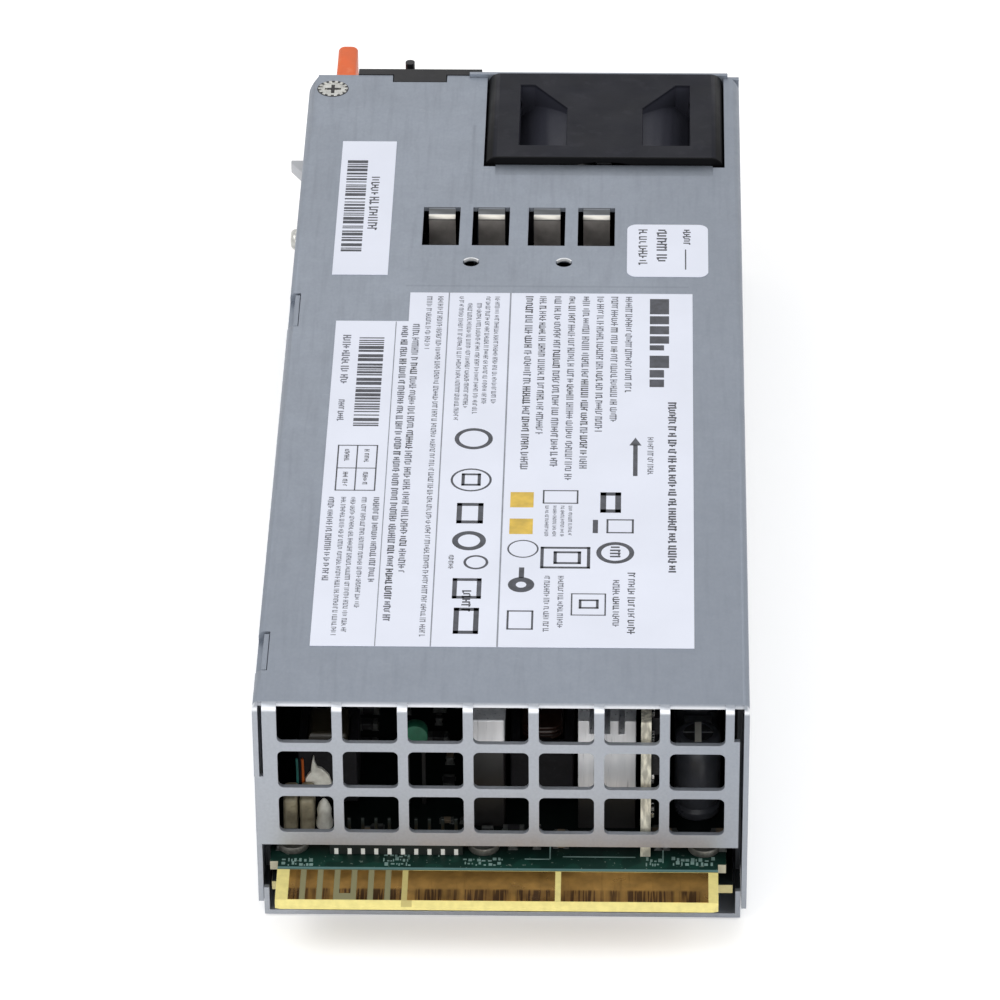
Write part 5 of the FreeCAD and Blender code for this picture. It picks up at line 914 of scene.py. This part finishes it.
def small_parts():
    """Surface parts with soldered ends, in rows where the board is free."""
    dice = random.Random(17)
    spots = [(-8.5 + 3.1 * step, y) for step in range(3) for y in (6.5, 10.5, 20, 26)]
    spots += [(x, y) for x in (-33, -20.6, -19, 1.6, 5.2, 8.8, 23.4, 24.6, 33) for y in (4.6, 7.6)]
    spots += [(x, 30 + 4.2 * step + shift) for step in range(5)
              for x, shift in ((-30, 0), (-26, 1.3), (-21.5, 0.4), (-16, 0), (-10.5, 1.8))]
    spots += [(x, y) for y in (84, 111.5, 148) for x in (-30, -22, -14, -6, 2, 10)]
    bodies, chips, ends, pads = [bmesh.new() for _ in range(4)]
    for x, y in spots:
        long = dice.choice((1.6, 2, 3.2))
        half_wide = long * 0.55 / 2
        cap = long * 0.22
        tall = dice.choice((0.5, 0.7, 1.1))
        quarter = pi / 2 if dice.random() < 0.5 else 0
        turn = Matrix.Translation((x, y, BOARD_TOP)) @ Matrix.Rotation(quarter, 4, "Z")
        body = chips if dice.random() < 0.45 else bodies
        prism(body, rectangle(cap - long / 2, long / 2 - cap, -half_wide, half_wide), 0, tall, turn)
        for start in (-long / 2, long / 2 - cap):
            prism(ends, rectangle(start, start + cap, -half_wide, half_wide), 0, tall * 0.98, turn)
            pad = rectangle(start - 0.2, start + cap + 0.2, -half_wide - 0.2, half_wide + 0.2)
            prism(pads, pad, -0.02, 0.08, turn)
    piece("small_part_bodies", bodies, "circuit_board", "ceramic", rounding=0.08)
    piece("small_part_chips", chips, "circuit_board", "chip_resin", rounding=0.08)
    piece("small_part_ends", ends, "plated_metal", "dull_solder", rounding=0.08)
    piece("small_part_pads", pads, "plated_metal", "dull_solder", rounding=0.05)


def control_board_parts():
    """Chip legs and small parts on the upright control board."""
    dice = random.Random(41)
    low, high = mm_box("control_board")
    chip_low, chip_high = mm_box("control_chips")
    chip_pitch, leg_pitch = 9, 0.7
    bodies = bmesh.new()
    metal = bmesh.new()

    def stand(bm, y, half_y, z_low, z_high, out):
        block(bm, (high.x, y - half_y, z_low), (high.x + out, y + half_y, z_high))

    for index in range(6 * 7):
        y = chip_low.y + index // 7 * chip_pitch + 0.4 + index % 7 * leg_pitch
        stand(metal, y, 0.14, chip_low.z - 0.9, chip_low.z + 0.1, 0.45)
        stand(metal, y, 0.14, chip_high.z - 0.1, chip_high.z + 0.9, 0.45)
    for _ in range(46):
        y = dice.uniform(low.y + 1.5, high.y - 2.5)
        z = dice.choice((dice.uniform(12.5, 20.5), dice.uniform(29.5, high.z - 1.8)))
        stand(bodies, y, 0.4, z - 0.3, z + 0.3, 0.5)
        stand(metal, y - 0.55, 0.17, z - 0.32, z + 0.32, 0.46)
        stand(metal, y + 0.55, 0.17, z - 0.32, z + 0.32, 0.46)
    piece("control_small_parts", bodies, "black_plastic", "chip_resin", rounding=0.06)
    piece("control_solder", metal, "plated_metal", "solder", rounding=0.05)


def paste_and_leads():
    """White paste and two thin leads behind the film capacitors."""
    front = mm_box("film_capacitors")[1].y + 0.05
    back = mm_box("standby_core")[0].y + 0.1
    lump = bmesh.new()
    shape = [(-29.9, 14.4), (-29.9, 16.6), (-29.5, 17.4), (-29.1, 17.9), (-28.9, 19.6), (-28.6, 20.9),
             (-28.4, 19.7), (-28.1, 18.7), (-27.5, 18.6), (-26.9, 18), (-26.3, 17.2), (-25.9, 15.6),
             (-25.8, 13.6), (-27.6, 13.2)]
    prism(lump, shape, front, back, aligned((1, 0, 0), (0, 0, 1), (0, 1, 0)))
    piece("sealing_paste", lump, "white_plastic", "sealing_paste", rounding=0.2)
    blob = bmesh.new()
    profile = [(0, 0), (1.25, 0), (1.3, 0.7), (1.05, 1.9), (1.12, 3), (0.8, 4.1), (0.35, 4.8), (0, 4.9)]
    lathe(blob, profile, (-27, 9.3, BOARD_TOP), (0, 0, 1), 20)
    piece("sealing_blob", blob, "white_plastic", "sealing_paste", sharp=60)
    for name, x in (("amber_lead", -30.5), ("teal_lead", -31.35)):
        run = [(x + 0.25 * sin(step / 9), front + 0.25, BOARD_TOP + 0.51 * step) for step in range(21)]
        wire(name, [run], 0.21, "lead_cover", name)


output_cans()
bulk_cans()
crown("output_choke", 9)
crown("boost_choke", 16)
crown("filter_choke", 13)
silkscreen()
small_parts()
control_board_parts()
paste_and_leads()


# Fan

HUB = 11
BLADES = 7
SPANS = 8
CHORDS = 8
REST_TURN = radians(22)  # no blade gap stands behind a gap of the windows


def blade_point(blade, span, chord, side):
    """A corner of a blade's skin, twisted from root to tip."""
    front, back = rotor_low.y + 0.3, rotor_high.y
    share = span / SPANS
    across = chord / CHORDS
    root = HUB - 0.4
    radius = root + ((rotor_high.x - rotor_low.x) / 2 - root) * share
    pitch = radians(42 - 8 * share)
    along = (across - 0.5) * (15.8 + 3.4 * share)
    thick = 0.42 * (0.25 + 0.75 * sin(pi * (chord + 0.6) / (CHORDS + 1.2)))
    lift = 1.4 * (1 - (2 * across - 1) ** 2) + thick * side
    y = (front + back) / 2 - 0.4 + along * sin(pitch) + lift * cos(pitch)
    tangent = along * cos(pitch) - lift * sin(pitch) + 1.6 * share
    turn = tau * blade / BLADES - REST_TURN + tangent / radius
    y = max(front + 0.1, min(back - 0.6, y))
    return FAN_X + radius * cos(turn), y, FAN_Z + radius * sin(turn)


def fan_blades():
    """Closed, twisted and curved blades."""
    bm = bmesh.new()
    rim = ([(0, j) for j in range(CHORDS)] + [(i, CHORDS) for i in range(SPANS)]
           + [(SPANS, j) for j in range(CHORDS, 0, -1)] + [(i, 0) for i in range(SPANS, 0, -1)])
    for blade in range(BLADES):
        top, low = [[[bm.verts.new(blade_point(blade, i, j, side)) for j in range(CHORDS + 1)]
                     for i in range(SPANS + 1)] for side in (1, -1)]
        for rows, order in ((top, 1), (low, -1)):
            for i in range(SPANS):
                for j in range(CHORDS):
                    ring = (rows[i][j], rows[i][j + 1], rows[i + 1][j + 1], rows[i + 1][j])
                    bm.faces.new(ring[::order])
        for (i, j), (k, m) in zip(rim, rim[1:] + rim[:1]):
            bm.faces.new((top[i][j], low[i][j], low[k][m], top[k][m]))
    piece("fan_blades", bm, "black_plastic", "fan_rotor_moulding", "fan_rotor", sharp=60)


def fan_hub():
    """A cup with a rounded rim and a grey disc on its end."""
    front = rotor_low.y + 0.3
    depth = rotor_high.y - front
    wall = HUB - 1.2
    bm = bmesh.new()
    lathe(bm, [(0, depth - 1.6), (wall, depth - 1.6), (wall, 0), (HUB, 0), (HUB, depth - 1.4),
               *shoulder(HUB, depth, 1.4), (7.4, depth), (7.2, depth - 0.3), (0, depth - 0.3)],
          (FAN_X, front, FAN_Z), (0, 1, 0), 72)
    hub = piece("fan_hub", bm, "black_plastic", "fan_rotor_moulding", "fan_rotor", sharp=50)
    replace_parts(hub, "fan_rotor")
    disc = bmesh.new()
    end = (FAN_X, rotor_high.y - 0.3, FAN_Z)
    lathe(disc, [(0, 0), (6.9, 0), (6.9, 0.08), (0, 0.08)], end, (0, 1, 0), 64)
    piece("hub_disc", disc, "black_plastic", "grey_plastic", "fan_rotor")


def fan_guard():
    """Wire rings on four bars that end in eyelets."""
    low, high = mm_box("fan_guard")
    bar_y = low.y + 0.6
    eye = 2.2
    rings = [[(x, high.y - 0.6, z) for x, z in circle_points(FAN_X, FAN_Z, radius, 72)]
             for radius in (6, 11.6, 17.2)]
    item = wire("guard_rings", rings, 0.6, "bright_wire", closed=True)
    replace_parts(item, "fan_guard")
    reaches = (5.4 / sqrt(2), FAN_HOLE - eye / sqrt(2))
    bars = [[(FAN_X + sx * reach, bar_y, FAN_Z + sz * reach) for reach in reaches] for sx, sz in CORNERS]
    wire("guard_bars", bars, 0.55, "bright_wire")
    eyelets = [[(x, bar_y, z) for x, z in circle_points(FAN_X + sx * FAN_HOLE, FAN_Z + sz * FAN_HOLE, eye)]
               for sx, sz in CORNERS]
    wire("guard_eyelets", eyelets, 0.6, "bright_wire", closed=True)


fan_hub()
fan_blades()
fan_guard()


# Screws and peep holes

def cross_slot(bm, centre, axis, reach, width):
    """The cross of a driver slot, sunk in a head and painted dark as shade."""
    axis = Vector(axis)
    turn = Matrix.Rotation(radians(20), 3, axis)
    side = turn @ axis.orthogonal().normalized()
    other = axis.cross(side)
    for first, second in ((side, other), (other, side)):
        prism(bm, rectangle(-reach, reach, -width / 2, width / 2), -0.1, 0.02,
              aligned(first, second, axis, centre))


def driver_slots():
    """Crosses in the fan's and the board's screws."""
    slots = bmesh.new()
    head_y = mm_box("fan_screws")[1].y
    for sx, sz in CORNERS:
        cross_slot(slots, (FAN_X + sx * FAN_HOLE, head_y, FAN_Z + sz * FAN_HOLE), (0, 1, 0), 1.5, 0.7)
    head = 2.4
    low, high = mm_box("board_screws")
    for x, y in ((low.x + head, low.y + head), (-2.8, low.y + head), (high.x - head, low.y + head),
                 (low.x + head, high.y - head), (high.x - head, high.y - head)):
        cross_slot(slots, (x, y, high.z), (0, 0, 1), 1.3, 0.55)
    piece("driver_slots", slots, "plated_metal", "painted_recess_shade")


def cover_screw_details():
    """Teeth around the cover screw's head, and painted shade on its seat and in its slot."""
    low, high = mm_box("cover_screw")
    x, y = (low.x + high.x) / 2, (low.y + high.y) / 2
    radius = (high.x - low.x) / 2
    teeth = 14
    rim = bmesh.new()
    for index in range(teeth):
        tooth = [(radius - 0.7, -0.14), (radius - 0.1, -0.11), (radius - 0.1, 0.11), (radius - 0.7, 0.14)]
        turn = tau * index / teeth
        prism(rim, [(x + reach * cos(turn + half), y + reach * sin(turn + half))
                    for reach, half in tooth], high.z - 0.3, high.z + 0.14)
    piece("cover_screw_teeth", rim, "plated_metal", rounding=0.05)
    seat = bmesh.new()
    annulus(seat, x, y, radius + 0.04, radius - 0.5, high.z - 0.1, high.z + 0.03)
    for half_x, half_y in ((0.95, 0.24), (0.24, 1.15)):
        prism(seat, rectangle(x - half_x, x + half_x, y - half_y, y + half_y),
              high.z - 0.2, high.z + 0.05 + half_x * 0.01)
    piece("cover_screw_shade", seat, "plated_metal", "painted_recess_shade")


def peep_lips():
    """Painted highlights standing for the lit far lips of the two round holes in the cover."""
    lips = bmesh.new()
    for x in (-7.6, 7.6):
        prism(lips, ring_arc(x, cover_high.y - 59.9, 1.42, 1.16, 24, 25, 130),
              cover_high.z - 0.5, cover_high.z + 0.03)
    piece("peep_lips", lips, "galvanised_steel", "painted_lip_highlight", rounding=0.05)


driver_slots()
cover_screw_details()
peep_lips()


# Camera, light and stage

FLOOR_LIFT = 0.42  # strength that the floor shows to the camera on top of its light
WORLD_LEVEL = 0.50  # strength of the world's light on the object


def camera():
    """The photograph's long lens view, from above the card edge end."""
    data = bpy.data.cameras.new("camera")
    data.sensor_width = 36
    data.lens = 227.23
    data.clip_end = 20
    item = new_object("camera", data)
    yaw, pitch, roll = 1.5357, 34.0158, -0.4542
    item.matrix_world = Matrix.Translation(Vector((20.358, -753.458, 584.588)) * MM)
    for degrees, axis in ((yaw, "Z"), (90 - pitch, "X"), (roll, "Z")):
        item.matrix_world @= Matrix.Rotation(radians(degrees), 4, axis)
    bpy.context.scene.camera = item


def area_light(name, place, target, size, power):
    data = bpy.data.lights.new(name, "AREA")
    data.shape = "RECTANGLE"
    data.size, data.size_y = size
    data.energy = power
    item = new_object(name, data)
    item.location = place
    item.rotation_euler = (Vector(target) - Vector(place)).to_track_quat("-Z", "Y").to_euler()


def stage():
    """A pale floor that keeps the object's soft shadow."""
    bm = bmesh.new()
    bm.faces.new([bm.verts.new((x, y, 0)) for x, y in rectangle(-4, 4, -4, 4)])
    mesh = bpy.data.meshes.new("floor")
    bm.to_mesh(mesh)
    bm.free()
    floor = new_object("floor", mesh)
    floor.location = (0, 0, -0.0003)
    paint = Paint("pale_floor", 0.9, gloss=0.1)
    paint.shader["Base Color"].default_value = (0.86, 0.86, 0.86, 1)
    paint.shader["Emission Color"].default_value = (1, 1, 1, 1)
    lift = paint.times(paint.rays("Camera", "Glossy"), FLOOR_LIFT)
    paint.feed(paint.shader["Emission Strength"], lift)
    mesh.materials.append(paint.material)


def sky():
    """A white backdrop, and a softer even light on the object."""
    world = bpy.data.worlds.new("studio")
    bpy.context.scene.world = world
    world.use_nodes = True
    backdrop = world.node_tree.nodes["Background"].inputs
    backdrop["Color"].default_value = (1, 1, 1, 1)
    tree = Nodes(world.node_tree)
    seen = tree.rays("Camera", "Glossy", "Transmission")
    tree.feed(backdrop["Strength"], tree.span(seen, 0, 1, WORLD_LEVEL, 1))


camera()
stage()
sky()
middle = (0, 0.09, 0.02)
area_light("key", (-0.55, -0.35, 0.95), middle, (0.7, 0.7), 4.3)
area_light("fill", (0.75, -0.15, 0.7), middle, (0.6, 0.9), 2)
area_light("front", (0.1, -0.9, 0.25), (0, 0, 0.02), (0.8, 0.35), 3)
area_light("back", (0.2, 0.7, 1.1), middle, (0.8, 0.5), 1.5)

bpy.context.scene.view_settings.view_transform = "Standard"
